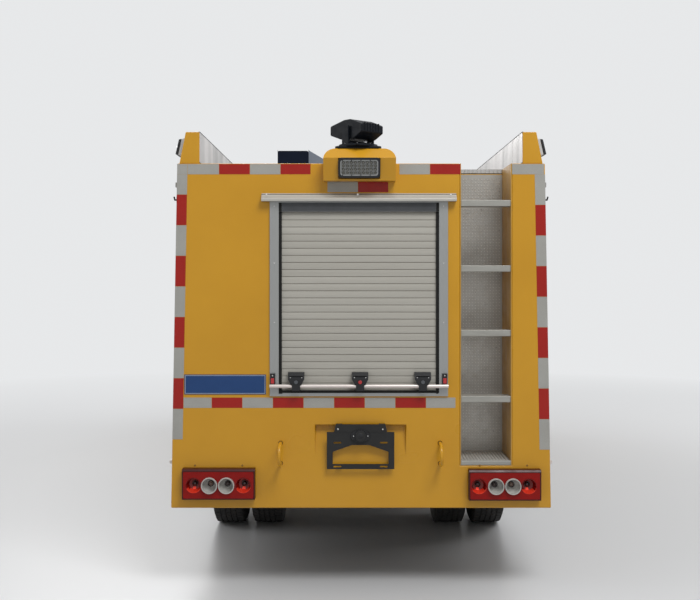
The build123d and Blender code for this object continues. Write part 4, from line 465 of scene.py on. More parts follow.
# upper faces of the red tail-lamp bowls: dark red, painted shade where they face down
duskBowl = plasticFinish(
    "duskBowl", (0.120, 0.003, 0.002), (0.215, 0.006, 0.004), 0.2, 0.35, 90.0, 0.0006, Metallic=0.2,
)
darkLampRim = plasticFinish(
    "lampRim", (0.030, 0.002, 0.002), (0.055, 0.005, 0.004), 0.3, 0.45, 300.0, 0.0002,
    Specular_IOR_Level=0.3,
)
frostReflector = plasticFinish(
    "frostReflector", (0.42, 0.41, 0.39), (0.50, 0.49, 0.46), 0.3, 0.42, 140.0, 0.0001, Metallic=0.25,
)
plateWhite = plasticFinish("blankPlate", (0.52, 0.52, 0.50), (0.60, 0.60, 0.58), 0.3, 0.42, 300.0, 0.0001)
rustScrew = plasticFinish(
    "paintedScrew", (0.17, 0.075, 0.012), (0.27, 0.130, 0.018), 0.45, 0.6, 200.0, 0.0002,
)

navyPlastic = plasticFinish(
    "navyHousing", (0.002, 0.004, 0.011), (0.004, 0.008, 0.020), 0.5, 0.65, 300.0, 0.0002,
    Specular_IOR_Level=0.1,
)
# the lighter blue-grey for the right flank of the mast housing: painted light where that flank faces up and
# to the right
flankPaintedLight = plasticFinish(
    "slateFlank", (0.115, 0.135, 0.170), (0.160, 0.180, 0.215), 0.4, 0.55, 300.0, 0.0002,
)
amberLens = plasticFinish(
    "amberLens", (0.62, 0.150, 0.010), (0.78, 0.235, 0.020), 0.12, 0.22, 160.0, 0.0006, Coat_Weight=0.7,
)


def tapeFinish(name, dark, light):
    # retroreflective tape: a fine diamond net pressed into the film
    finish = Finish(name, Coat_Weight=0.1, Coat_Roughness=0.2, Specular_IOR_Level=0.3)
    cells = finish.add("TexVoronoi", feature="DISTANCE_TO_EDGE")
    cells.inputs["Scale"].default_value = 1.0
    cells.inputs["Randomness"].default_value = 0.0
    finish.link(finish.stretched((190.0, 190.0, 190.0), (0, radians(45), 0)), cells.inputs["Vector"])
    net = finish.spread(cells.outputs["Distance"], 0.02, 0.12)
    soft = finish.spread(finish.noise(7.0, 4.0), 0.3, 0.7, 0.55, 1.0)
    finish.colour(finish.mix(finish.math("MULTIPLY", net, soft), dark, light))
    finish.roughness(finish.noise(30.0, 3.0), 0.28, 0.42)
    return finish.bump(net, 0.0001, 0.3)


tapeRed = tapeFinish("tapeRed", (0.25, 0.005, 0.002), (0.35, 0.009, 0.004))
tapeSilver = tapeFinish("tapeSilver", (0.265, 0.260, 0.240), (0.370, 0.365, 0.340))
parapetPanel = Finish("brightPanel", Metallic=0.35)
parapetPanel.roughness(parapetPanel.noise(9.0, 4.0), 0.30, 0.42)
parapetFolds = parapetPanel.noise(1.0, 1.0, parapetPanel.stretched((0.2, 5.5, 0.5)))
# the colour also goes lighter and darker with the folds: painted reflection and shade on the folded sheet,
# beside the bump
foldPaintedReflection = parapetPanel.spread(parapetFolds, 0.35, 0.65)
parapetPanel.colour(parapetPanel.mix(foldPaintedReflection, (0.39, 0.38, 0.37), (0.60, 0.575, 0.565)))
parapetPanel.bump(parapetFolds, 0.030, 0.5)

seatCloth = Finish("seatCloth", Roughness=0.9, Sheen_Weight=0.4, Sheen_Roughness=0.5)
weave = seatCloth.add("TexBrick")
weave.inputs["Scale"].default_value = 260.0
weave.inputs["Mortar Size"].default_value = 0.06
seatCloth.link(seatCloth.coords, weave.inputs["Vector"])
seatTone = seatCloth.mix(seatCloth.noise(6.0, 4.0), (0.045, 0.047, 0.052), (0.085, 0.087, 0.095))
seatCloth.colour(seatCloth.mix(seatCloth.noise(900.0, 2.0), seatTone, (0.11, 0.11, 0.12)))
seatCloth.bump(weave.outputs["Fac"], 0.0004, 0.5).bump(seatCloth.noise(700.0, 2.0), 0.0003, 0.4)
print("finishes made")

# Every node starts with its slot's finish; pieces below replace or refine some
slotFinish = {
    "yellow_paint": yellow, "frame_black": chassisBlack, "silver_paint": wheelSilver,
    "alloy": alloy, "chequer": chequer, "curtain": slat, "black_plastic": blackPlastic,
    "grey_plastic": greyPlastic, "lamp_red": lampRed, "lamp_clear": clearLens,
    "beacon_red": beaconRed, "tyre_rubber": rubber, "iron": castIron, "steel": exhaustSteel,
    "glass": glass, "trim_grey": seatCloth,
}
nodeFinish = {
    "roof_deck": deckPlate, "ladder_recess": recessPaintedShade, "plate_bracket": bracketGrey,
    "body_floor": chassisBlack,
}
for part in frame["record"]["subparts"]:
    finish = nodeFinish.get(part["node"]) or slotFinish[part["material_slot"]]
    materials = cadNodes[part["node"]].data.materials
    materials.clear()
    materials.append(finish.material)

# Rear wall and what lies on it
rearWall = {
    "y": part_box("rear_wall")[0].y,
    "bottom": 0.400, "top": 2.090,
    "halfBottom": 0.932, "halfTop": 0.902,
    "edgeRound": 0.006,
}


def wallHalf(z):
    share = (z - rearWall["bottom"]) / (rearWall["top"] - rearWall["bottom"])
    return rearWall["halfBottom"] + (rearWall["halfTop"] - rearWall["halfBottom"]) * share


softCopy("rear_wall", "rearPanel", yellow, "root", rearWall["edgeRound"])

# Reflective tape: red and silver units of 150 mm, 50 mm wide, 0.6 mm thick
tape = {
    "unit": 0.150, "wide": 0.0505, "thick": 0.0006,
    "bottomStrip": {"left": -0.882, "from": -0.8705, "right": 0.463, "z": 0.8915, "first": "silver"},
    "leftStrip": {"start": 2.087, "top": 2.0365, "bottom": 0.737, "edge": 0.001, "first": "silver"},
    "rightStrip": {"start": 2.0365, "top": 2.0365, "bottom": 0.672, "edge": 0.001, "first": "silver"},
    "topStrip": {"z": 2.0365, "pieces": (
        (-0.850, -0.696, "silver"), (-0.696, -0.545, "red"), (-0.545, -0.395, "silver"),
        (-0.395, -0.247, "red"), (0.188, 0.338, "silver"),
        (0.338, 0.488, "red"), (0.740, 0.897, "silver"),
    )},
    "leftCorner": (-0.902, -0.850),
    "hoodStrip": {"z": 1.949, "pieces": ((-0.165, -0.015, "silver"), (-0.015, 0.134, "red"))},
}
tapeMeshes = {"red": bmesh.new(), "silver": bmesh.new()}
otherTape = {"red": "silver", "silver": "red"}
seam = 0.0006  # a hair between two units


def layTape(tone, x0, x1, z0, z1):
    y = rearWall["y"]
    addBlock(tapeMeshes[tone], (x0 + seam, y - tape["thick"], z0), (x1 - seam, y + 0.0002, z1))


strip = tape["bottomStrip"]
tone, x = strip["first"], strip["left"]
while x < strip["right"] - 0.02:
    end = min(x + tape["unit"], strip["right"])
    layTape(tone, max(x, strip["from"]), end, strip["z"], strip["z"] + tape["wide"])
    tone, x = otherTape[tone], end
for strip in (tape["topStrip"], tape["hoodStrip"]):
    for x0, x1, tone in strip["pieces"]:
        layTape(tone, x0, x1, strip["z"], strip["z"] + tape["wide"])
for side, strip in ((-1, tape["leftStrip"]), (1, tape["rightStrip"])):
    tone, z = strip["first"], strip["start"]
    while z > strip["bottom"] + 0.02:
        low = max(z - tape["unit"], strip["bottom"])
        y = rearWall["y"]
        corners = []
        for height in (low + seam, min(z, strip["top"]) - seam):
            outer = side * (wallHalf(height) - strip["edge"])
            corners.append([(outer, height), (outer - side * tape["wide"], height)])
        ring = [corners[0][0], corners[0][1], corners[1][1], corners[1][0]]
        addPrism(
            tapeMeshes[tone], [(px, y - tape["thick"], pz) for px, pz in ring],
            (0, tape["thick"] + 0.0002, 0),
        )
        tone, z = otherTape[tone], low
    if side < 0:
        layTape("silver", *tape["leftCorner"], tape["topStrip"]["z"], tape["topStrip"]["z"] + tape["wide"])
finishPiece(tapeMeshes["red"], "tapeRedRear", tapeRed, "root")
finishPiece(tapeMeshes["silver"], "tapeSilverRear", tapeSilver, "root")
print("rear tape laid")

# Roller curtains: bowed slats with a dark joint under each
curtain = {
    "pitch": 0.0348, "joint": 0.0026, "bow": 0.0007,
    "depth": 0.006, "thick": 0.010, "jointDepth": 0.004, "backing": (0.010, 0.017), "below": 0.011,
    "rear": {"x": (-0.4145, 0.3935), "z": (0.978, 1.893)},
    "sides": (
        (-2.769, -2.001, 0.582, 1.966), (-1.929, -0.981, 0.972, 1.966), (-0.899, 0.139, 0.582, 1.966),
    ),
}


def slatOutline(z, top):
    # (depth behind the wall's face, height) points of one slat, bowed outwards
    low, high = z + curtain["joint"] / 2, min(z + curtain["pitch"], top) - curtain["joint"] / 2
    points = []
    for step in range(7):
        share = step / 6
        out = sin(pi * share) ** 0.6 * curtain["bow"]
        points.append((curtain["depth"] + curtain["bow"] - out, low + (high - low) * share))
    back = curtain["depth"] + curtain["thick"]
    return points + [(back, high), (back, low)]


slats, joints = bmesh.new(), bmesh.new()
z = curtain["rear"]["z"][0]
rearX = curtain["rear"]["x"]
while z < curtain["rear"]["z"][1] - 0.01:
    corners = slatOutline(z, curtain["rear"]["z"][1])
    outline = [(rearX[0], rearWall["y"] + depth, height) for depth, height in corners]
    addPrism(slats, outline, (rearX[1] - rearX[0], 0, 0))
    z += curtain["pitch"]
backY = rearWall["y"] + curtain["depth"] + curtain["jointDepth"]
rearZ = curtain["rear"]["z"]
addBlock(joints, (rearX[0], backY, rearZ[0] - curtain["below"]), (rearX[1], backY + 0.007, rearZ[1]))
for side in (-1, 1):
    for y0, y1, z0, z1 in curtain["sides"]:
        z = z0
        while z < z1 - 0.01:
            outline = [
                (side * (wallHalf(height) - depth), y0, height) for depth, height in slatOutline(z, z1)
            ]
            addPrism(slats, outline, (0, y1 - y0, 0))
            z += curtain["pitch"]
        near, far = curtain["backing"]
        foot = z0 - curtain["below"]
        ring = []
        for depth, height in ((near, foot), (far, foot), (far, z1), (near, z1)):
            ring.append((side * (wallHalf(height) - depth), y0, height))
        addPrism(joints, ring, (0, y1 - y0, 0))
finishPiece(slats, "curtainSlats", slat, "root", smooth=40, replaces=("shutter_curtains",))
finishPiece(joints, "curtainJoints", slatGap, "root")
print("curtains made")

# Trims of the rear shutter: brush seals, header strip, foot seal and screws
shutter = {
    "left": -0.403, "right": 0.382, "bottom": 0.978, "top": 1.853,
    "frameHeight": 0.008, "seal": 0.0145, "headerTop": 1.8975, "sink": 0.0005,
    "headerBands": ((1.8535, 1.8650, 0.0010), (1.8650, 1.8860, 0.0018), (1.8860, 1.8975, 0.0010)),
    "cornerBlocks": (0.962, 0.981), "footSeal": (0.9655, 0.9775),
    "screwX": (-0.425, 0.404), "screwZ": (1.31, 1.60, 1.88),
    "gutter": (1.903, 1.943), "gutterFront": -2.924, "gutterLine": (1.9343, 1.9369),
    "gutterScrews": (-0.4616, -0.0167, 0.4367), "gutterScrewZ": 1.934,
}
wallY = rearWall["y"]
frameY = wallY - shutter["frameHeight"]
sunkY = frameY + shutter["sink"]  # trims stand a little inside the frame's face
seals, header, screws = bmesh.new(), bmesh.new(), bmesh.new()
for side, edge in ((1, shutter["left"]), (-1, shutter["right"])):
    x0, x1 = sorted((edge, edge + side * shutter["seal"]))
    addBlock(seals, (x0, wallY - 0.002, shutter["bottom"] - 0.001), (x1, wallY + 0.0105, shutter["top"]))
    addBlock(seals, (x0, frameY - 0.0012, shutter["top"]), (x1, sunkY, shutter["headerTop"]))
    low, high = shutter["cornerBlocks"]
    addBlock(seals, (x0, frameY - 0.0022, low), (x1 + side * 0.004, sunkY, high))
low, high = shutter["footSeal"]
addBlock(seals, (shutter["left"], frameY - 0.0016, low), (shutter["right"], sunkY, high))
headerX = (shutter["left"] + shutter["seal"] + 0.0005, shutter["right"] - shutter["seal"] - 0.0005)
for low, high, out in shutter["headerBands"]:
    addBlock(header, (headerX[0], frameY - out, low), (headerX[1], sunkY, high))
finishPiece(seals, "shutterSeals", sealRubber, "root", bevel=0.0004)
finishPiece(header, "shutterHeader", headerGrey, "root", bevel=0.0003)
for x in shutter["gutterScrews"]:
    addDome(
        screws, (x, shutter["gutterFront"], shutter["gutterScrewZ"]), backwards, 0.0042, 0.0022, rings=3,
        steps=12, base=0.0006,
    )
for x in shutter["screwX"]:
    for z in shutter["screwZ"]:
        addDome(screws, (x, frameY, z), backwards, 0.0034, 0.0016, rings=3, steps=12)
finishPiece(screws, "frameScrews", boltSteel, "root")

# Frames and gutters: the gutter is the warmer, plain profile
frames = softCopy("shutter_frames", "shutterProfiles", alloy, "root", 0.0012)
frames.data.materials.append(gutterAlloy.material)
for polygon in frames.data.polygons:
    low, high = shutter["gutter"]
    if polygon.center.y < wallY and low - 0.0005 < polygon.center.z < high + 0.0005:
        polygon.material_index = 1
reach = [v.co.x for v in frames.data.vertices if v.co.y < shutter["gutterFront"] + 0.001]
gutterJoint = bmesh.new()
low, high = shutter["gutterLine"]
addBlock(
    gutterJoint, (min(reach) + 0.001, shutter["gutterFront"] - 0.0004, low),
    (max(reach) - 0.001, shutter["gutterFront"] + 0.0006, high),
)
finishPiece(gutterJoint, "gutterJoint", sealRubber, "root")

# Lift bars and latches; a latch is made round its bar's middle, facing -Y, then turned
latch = {
    "half": 0.0405, "strap": 0.020, "brow": 0.82, "rivets": (-0.0275, 0.0275),
    "hood": (
        (0.0295, 0.006), (0.0295, 0.067), (0.013, 0.067), (-0.008, 0.048), (-0.012, 0.034), (-0.010, 0.006),
    ),
    "shoulder": 0.62, "strapOuter": 0.0128, "strapInner": 0.0093,
    "button": ((0.0, 0.0092), (0.0036, 0.0092), (0.0048, 0.0078), (0.0044, 0.0062), (0.0052, 0.0)),
    "rearX": (-0.317, -0.005, 0.301), "barX": (-0.447, 0.426), "barZ": 1.000,
    "barOut": 0.024, "barRadius": 0.009,
    "sideShare": 0.2, "sideRise": 0.022,
    "switchX": (-0.4325, 0.4090),
}
shells, rivets, buttons, redButtons, bars = (bmesh.new() for each in range(5))


def addLatch(place, turn, button):
    grown = {shells: [], rivets: [], button: []}
    half, strap = latch["half"], latch["strap"]
    hood = addPrism(shells, [(-half, y, z) for y, z in latch["hood"]], (2 * half, 0, 0))
    for vert in hood:
        if vert.co.z < 0.01:
            vert.co.x *= latch["shoulder"]
    brow = addBlock(shells, (-half * latch["brow"], -0.0135, 0.050), (half * latch["brow"], 0.0, 0.0525))
    loop = []
    for radius, angles in (
        (latch["strapOuter"], range(80, -100, -20)), (latch["strapInner"], range(-80, 100, 20)),
    ):
        loop += [(-strap, -radius * cos(radians(a)), radius * sin(radians(a))) for a in angles]
    band = addPrism(shells, loop, (2 * strap, 0, 0))
    tail = addBlock(shells, (-strap, -0.0131, -0.0265), (strap, -0.0098, 0.012))
    hook = addBlock(shells, (-strap, -0.0131, -0.0265), (strap, 0.0200, -0.0215))
    grown[shells] += hood + list(brow) + band + list(tail) + list(hook)
    before = set(rivets.verts)
    for x in latch["rivets"]:
        addDome(rivets, (x, -0.0100, 0.0425), backwards, 0.0030, 0.0022, rings=3, steps=10)
    grown[rivets] += [v for v in rivets.verts if v not in before]
    before = set(button.verts)
    addSpun(button, latch["button"], (0, -0.0112, 0.0205), backwards, 20)
    grown[button] += [v for v in button.verts if v not in before]
    matrix = Matrix.Translation(place) @ Matrix.Rotation(turn, 4, "Z")
    for bm, verts in grown.items():
        bmesh.ops.transform(bm, matrix=matrix, verts=verts)


barY = wallY - latch["barOut"]
left, right = latch["barX"]
addRod(bars, (left, barY, latch["barZ"]), (right, barY, latch["barZ"]), latch["barRadius"], 28)
for index, x in enumerate(latch["rearX"]):
    addLatch((x, barY, latch["barZ"]), 0.0, redButtons if index == 1 else buttons)
for side in (-1, 1):
    for y0, y1, z0, z1 in curtain["sides"]:
        barZ = z0 + latch["sideRise"]
        barX = side * (wallHalf(barZ) + latch["barOut"])
        addRod(bars, (barX, y0, barZ), (barX, y1, barZ), latch["barRadius"], 28)
        aside = latch["sideShare"] * (y1 - y0)
        for y in (y0 + aside, (y0 + y1) / 2, y1 - aside):
            addLatch((barX, y, barZ), side * pi / 2, buttons)
for x in latch["switchX"]:  # a small switch beside each end of the rear bar
    addBlock(shells, (x - 0.0125, frameY - 0.0120, 1.004), (x + 0.0125, sunkY, 1.061))
    addBlock(redButtons, (x - 0.0080, frameY - 0.0150, 1.013), (x + 0.0080, frameY - 0.0110, 1.039))
    addDome(rivets, (x, frameY - 0.0120, 1.051), backwards, 0.0036, 0.0020, rings=3, steps=12)
finishPiece(bars, "liftBars", barAlloy, "root", bevel=0.0015, replaces=("shutter_bars",))
finishPiece(shells, "latchShells", blackPlastic, "root", bevel=0.0012)
finishPiece(rivets, "latchRivets", boltSteel, "root")
finishPiece(buttons, "latchButtons", greyPlastic, "root")
finishPiece(redButtons, "latchRedButtons", redPlastic, "root", bevel=0.0006)
print("rear shutter fitted")

# Blank blue sign plate with a light border line
sign = {"low": (-0.866, 0.958), "high": (-0.466, 1.055), "thick": 0.0030, "inset": 0.0035, "line": 0.0028}
plate, border = bmesh.new(), bmesh.new()
(x0, z0), (x1, z1) = sign["low"], sign["high"]
addBlock(plate, (x0, wallY - sign["thick"], z0), (x1, wallY + 0.0005, z1))
front = wallY - sign["thick"]
inner = sign["inset"]
for a0, c0, a1, c1 in borderBars(x0 + inner, z0 + inner, x1 - inner, z1 - inner, sign["line"]):
    addBlock(border, (a0, front - 0.0003, c0), (a1, front + 0.0003, c1))
finishPiece(plate, "blankSign", signBlue, "root", bevel=0.0008)
finishPiece(border, "signBorder", signEdge, "root")

# Ladder recess: raised diamonds on the back sheet and on the foot step
recess = {
    "x": (0.490, 0.735), "back": -2.610, "z": (0.634, 2.062), "pitch": 0.0155,
    "long": 0.0076, "slim": 0.34, "rise": 0.0016, "sheet": 0.0012, "stepZ": 0.632,
    "stepY": (-2.884, -2.614), "gap": 0.001, "margin": 0.010, "firstX": 0.012, "firstUp": 0.008,
    "smallest": 0.0002,  # faces under this area belong to a diamond
}
sheet = bmesh.new()
backY = recess["back"] - recess["sheet"]
(x0, x1), (z0, z1), (y0, y1) = recess["x"], recess["z"], recess["stepY"]
left, right, stepTop = x0 + recess["gap"], x1 - recess["gap"], recess["stepZ"] + recess["sheet"]
addBlock(sheet, (left, backY, z0), (right, recess["back"] + 0.0005, z1))
addBlock(sheet, (left, y0, recess["stepZ"] - 0.0005), (right, y1, stepTop))
columns = int((x1 - x0 - recess["margin"]) / recess["pitch"])


def addDiamonds(bm, rows, place):
    # place(across, up) gives the matrix that lays a diamond on its sheet
    for row in range(rows):
        for column in range(columns):
            across = recess["x"][0] + recess["firstX"] + column * recess["pitch"]
            lean = 45 if (row + column) % 2 else -45
            slimmed = Matrix.Diagonal((1.0, recess["slim"], 1.0, 1.0))
            shape = Matrix.Rotation(radians(lean), 4, "Z") @ slimmed
            bmesh.ops.create_cone(
                bm, cap_ends=True, segments=4, radius1=recess["long"], radius2=recess["long"] * 0.7,
                depth=recess["rise"], matrix=place(across, row * recess["pitch"]) @ shape,
            )


upright = Matrix.Rotation(radians(90), 4, "X")
firstZ, firstY, halfRise = z0 + recess["firstUp"], y0 + recess["firstUp"], recess["rise"] / 2
addDiamonds(
    sheet, int((z1 - z0 - recess["margin"]) / recess["pitch"]),
    lambda x, up: Matrix.Translation((x, backY - halfRise, firstZ + up)) @ upright,
)
addDiamonds(
    sheet, int((y1 - y0 - recess["margin"]) / recess["pitch"]),
    lambda x, up: Matrix.Translation((x, firstY + up, stepTop + halfRise)),
)
lined = finishPiece(sheet, "recessChequer", (chequer, diamond), "root", smooth=20)
# the diamonds' small faces take the lighter second finish, the painted highlight
for polygon in lined.data.polygons:
    if polygon.area < recess["smallest"]:
        polygon.material_index = 1
softCopy("ladder_steps", "ladderTreads", tread, "root", 0.0022)
print("ladder recess lined")


def addHoledPlate(bm, outline, holes, move, steps=36):
    # holes: (x, y, z, radius) of each round hole
    loops = [outline] + [
        [(cx + r * cos(2 * pi * i / steps), y, cz + r * sin(2 * pi * i / steps)) for i in range(steps)]
        for cx, y, cz, r in holes
    ]
    pushOut(bm, fillLoops(bm, loops), move)


def roundedLoop(x0, z0, x1, z1, radius, y, steps=5):
    loop = []
    for cx, cz, start in ((x1 - radius, z1 - radius, 0), (x0 + radius, z1 - radius, 90),
                          (x0 + radius, z0 + radius, 180), (x1 - radius, z0 + radius, 270)):
        for step in range(steps + 1):
            angle = radians(start + 90 * step / steps)
            loop.append((cx + radius * cos(angle), y, cz + radius * sin(angle)))
    return loop


# Tail lamps: four deep bowls a side in one red body, the inner two with clear reflectors
tailLamp = {
    "inner": {-1: 0.517, 1: 0.5245}, "outer": {-1: 0.8725, 1: 0.8765}, "lift": {-1: 0.0095, 1: 0.0050},
    "low": 0.440, "high": 0.590, "deep": 0.042, "lip": 0.012, "rim": 0.0065, "holeRadius": 0.0376,
    "z": 0.510, "red": (0.5735, 0.8156), "clear": (0.6555, 0.7380), "amber": 0.7380,
    "lean": (0.14, 0.17), "glow": 0.0150,  # the bowls lean inwards and up; faces low in a red bowl carry a painted highlight, the faces above a painted shade
    "redBowl": ((0.002, 0.0), (0.002, 0.0375), (0.0440, 0.0375), (0.0440, 0.0358), (0.0400, 0.0348),
                (0.0280, 0.0320), (0.0180, 0.0270), (0.0120, 0.0150), (0.0070, 0.0145), (0.0070, 0.0)),
    "clearBowl": ((0.001, 0.0), (0.001, 0.0374), (0.0425, 0.0374), (0.0428, 0.0398), (0.0540, 0.0394),
                  (0.0556, 0.0382), (0.0550, 0.0350), (0.0430, 0.0336), (0.0415, 0.0346), (0.0300, 0.0330),
                  (0.0150, 0.0215), (0.0125, 0.0165), (0.0070, 0.0160), (0.0070, 0.0)),
    "screws": (0.582, 0.814), "screwZ": 0.6095,
    "lipSlope": ((0.0010, 0.0), (-0.006, 0.010)), "bulbReach": 0.034, "socket": (0.0125, 0.030),
}
bodies, rims, redBowls, clearBowls = (bmesh.new() for each in range(4))
darkBulbs, amberBulbs, lampScrews = (bmesh.new() for each in range(3))
lampY = wallY - tailLamp["deep"]
for side in (-1, 1):
    lift = tailLamp["lift"][side]
    x0, x1 = spanOf(side, tailLamp["inner"][side], tailLamp["outer"][side])
    z0, z1, rim = tailLamp["low"] + lift, tailLamp["high"] - tailLamp["lip"] + lift, tailLamp["rim"]
    lampZ = tailLamp["z"] + lift
    holes = [(side * x, lampY, lampZ, tailLamp["holeRadius"]) for x in tailLamp["red"] + tailLamp["clear"]]
    lipFoot, backY = z1 - rim * 0.4, wallY + 0.0005
    addHoledPlate(
        bodies, roundedLoop(x0 + rim, z0 + rim, x1 - rim, lipFoot, 0.006, lampY), holes,
        (0, tailLamp["deep"] - 0.001, 0),
    )
    # the dark edge with its sloping top lip
    edgeY = lampY + 0.0018
    for a0, a1, c0, c1 in (
        (x0, x0 + rim, z0 + rim, z1), (x1 - rim, x1, z0 + rim, z1), (x0, x1, z0, z0 + rim),
    ):
        addBlock(rims, (a0, edgeY, c0), (a1, backY, c1))
    slope = [(edgeY - out, z1 + up) for out, up in tailLamp["lipSlope"]]
    lip = [(edgeY, lipFoot), *slope, (backY, z1 + tailLamp["lip"]), (backY, lipFoot)]
    addPrism(rims, [(x0, y, z) for y, z in lip], (x1 - x0, 0, 0))
    for bm, places, profile, steps in (
        (redBowls, tailLamp["red"], "redBowl", 18), (clearBowls, tailLamp["clear"], "clearBowl", 40),
    ):
        for x in places:
            leanX, leanZ = tailLamp["lean"]
            bowl = bmesh.new()
            addSpun(bowl, tailLamp[profile], (side * x, wallY, lampZ), backwards, steps)
            reach, bulbs = tailLamp["bulbReach"], amberBulbs if x == tailLamp["amber"] else darkBulbs
            place = (side * (x - leanX * reach), wallY - 0.0062, lampZ + leanZ * reach)
            addDome(bulbs, place, backwards, 0.0120, 0.017, rings=5, steps=20, base=0.006)
            for vertex in bowl.verts:
                depth = max(0.0, vertex.co.y - lampY)
                if depth < tailLamp["deep"] - 0.003:
                    vertex.co.x -= side * leanX * depth
                    vertex.co.z += leanZ * depth
            # in a red bowl, faces near the socket take the dark bulb finish, faces low in the bowl the
            # painted highlight, the others the painted shade
            for face in bowl.faces:
                middle = face.calc_center_median()
                out = Vector((middle.x - side * x, middle.z - lampZ))
                if middle.y > wallY - tailLamp["socket"][0] and out.length < tailLamp["socket"][1]:
                    face.material_index = 1
                elif profile == "redBowl" and out.y < -tailLamp["glow"] and middle.y < wallY - 0.013:
                    face.material_index = 2
            mergeInto(bm, bowl)
    for x in tailLamp["screws"]:
        addDome(
            lampScrews, (side * x, wallY, tailLamp["screwZ"]), backwards, 0.0048, 0.0026, rings=3, steps=12,
        )
finishPiece(bodies, "tailLampBodies", lampRed, "root", bevel=0.0012, replaces=("tail_lamps",))
finishPiece(rims, "tailLampRims", darkLampRim, "root", bevel=0.0012)
finishPiece(redBowls, "tailRedBowls", (duskBowl, bulbDark, emberReflector), "root", smooth=12)
finishPiece(clearBowls, "tailClearBowls", (frostReflector, bulbDark), "root", smooth=50)
finishPiece(darkBulbs, "tailDarkBulbs", bulbDark, "root")
finishPiece(amberBulbs, "tailAmberBulbs", bulbAmber, "root")
finishPiece(lampScrews, "tailLampScrews", rustScrew, "root")
print("tail lamps made")

# Plate bracket: rounded sheet edges, rivets and a hooded oval lamp
bracket = {
    "face": -2.916, "lamp": (-0.0035, 0.758), "oval": (0.047, 0.030), "ovalDeep": 0.009, "ovalSteps": 40,
    "hoodRadius": 0.0262, "hoodDeep": 0.0285, "screws": (-0.037, 0.033),
    "rivets": ((-0.113, 0.7905), (0.106, 0.7905)),
    "flange": ((-0.132, 0.7775), (0.127, 0.7775), (0.1185, 0.8150), (-0.1235, 0.8150)),
}
softCopy("plate_bracket", "bracketSheet", bracketGrey, "root", 0.0008)
lampParts, bracketRivets, flange = bmesh.new(), bmesh.new(), bmesh.new()
(lampX, lampZ), (ovalX, ovalZ), faceY = bracket["lamp"], bracket["oval"], bracket["face"]
turns = [2 * pi * step / bracket["ovalSteps"] for step in range(bracket["ovalSteps"])]
oval = [(lampX + ovalX * cos(turn), faceY + 0.0005, lampZ + ovalZ * sin(turn)) for turn in turns]
addPrism(lampParts, oval, (0, -bracket["ovalDeep"], 0))
addDome(
    lampParts, (lampX, faceY, lampZ + 0.003), backwards, bracket["hoodRadius"], bracket["hoodDeep"],
    rings=8, steps=36, base=0.014,
)
addPrism(flange, [(x, faceY + 0.0004, z) for x, z in bracket["flange"]], (0, -0.0022, 0))
finishPiece(flange, "bracketFlange", bracketGrey, "root", bevel=0.0006)
for x in bracket["screws"]:
    screwPlace = (x, faceY - bracket["ovalDeep"], lampZ)
    addDome(bracketRivets, screwPlace, backwards, 0.0032, 0.0022, rings=3, steps=12)
for x, z in bracket["rivets"]:
    addDome(bracketRivets, (x, faceY - 0.0018, z), backwards, 0.0042, 0.0026, rings=3, steps=12)
finishPiece(lampParts, "plateLamp", blackPlastic, "root", bevel=0.0016)
finishPiece(bracketRivets, "bracketRivets", boltSteel, "root")

# Black rings where the tow eyes pass through the wall: painted shade of the holes around them
eyes = {"x": (-0.394, 0.387), "z": (0.720, 0.620), "inner": 0.0082, "outer": 0.0106}
holeShadeRings = bmesh.new()
for x in eyes["x"]:
    for z in eyes["z"]:
        addSpun(
            holeShadeRings, ((0.0, eyes["inner"]), (0.0, eyes["outer"]), (0.0012, eyes["outer"]),
                      (0.0020, eyes["inner"] + 0.001), (0.0010, eyes["inner"]), (0.0, eyes["inner"])),
            (x, wallY, z), backwards, 24,
        )
finishPiece(holeShadeRings, "towEyeSleeves", sealRubber, "root")

# Lamp hood and the work lamp in it
workLamp = {
    "x": (-0.111, 0.092), "z": (2.009, 2.106), "face": -2.990, "deep": 0.066, "corner": 0.018,
    "rim": 0.0100, "silver": 0.0050, "innerCorners": (0.012, 0.009), "rows": 4, "columns": 9,
    "cup": (
        (0.0, 0.0092), (0.0085, 0.0092), (0.0085, 0.0080), (0.0030, 0.0050), (0.0008, 0.0030), (0.0008, 0.0),
    ),
    "screws": 8, "screwIn": 0.0035, "top": 2.108, "lean": 11, "leanFrom": -2.960,
}
hood = softCopy("lamp_hood", "lampHood", yellow, "root", 0.004, segments=3)
for vertex in hood.data.vertices:
    if vertex.co.y < workLamp["leanFrom"] and vertex.co.z < workLamp["top"]:
        vertex.co.y += (workLamp["top"] - vertex.co.z) * tan(radians(workLamp["lean"]))
bezel, trim, cups, chips = (bmesh.new() for each in range(4))
(x0, x1), (z0, z1), face, rim = workLamp["x"], workLamp["z"], workLamp["face"], workLamp["rim"]


def addRing(bm, outer, inner, y, deep, corner, innerCorner):
    # a flat frame between two rounded rectangles
    loops = [roundedLoop(*outer, corner, y), roundedLoop(*inner, innerCorner, y)]
    pushOut(bm, fillLoops(bm, loops), (0, deep, 0))


def shrunk(by):
    # the lamp's outline moved inwards
    return x0 + by, z0 + by, x1 - by, z1 - by


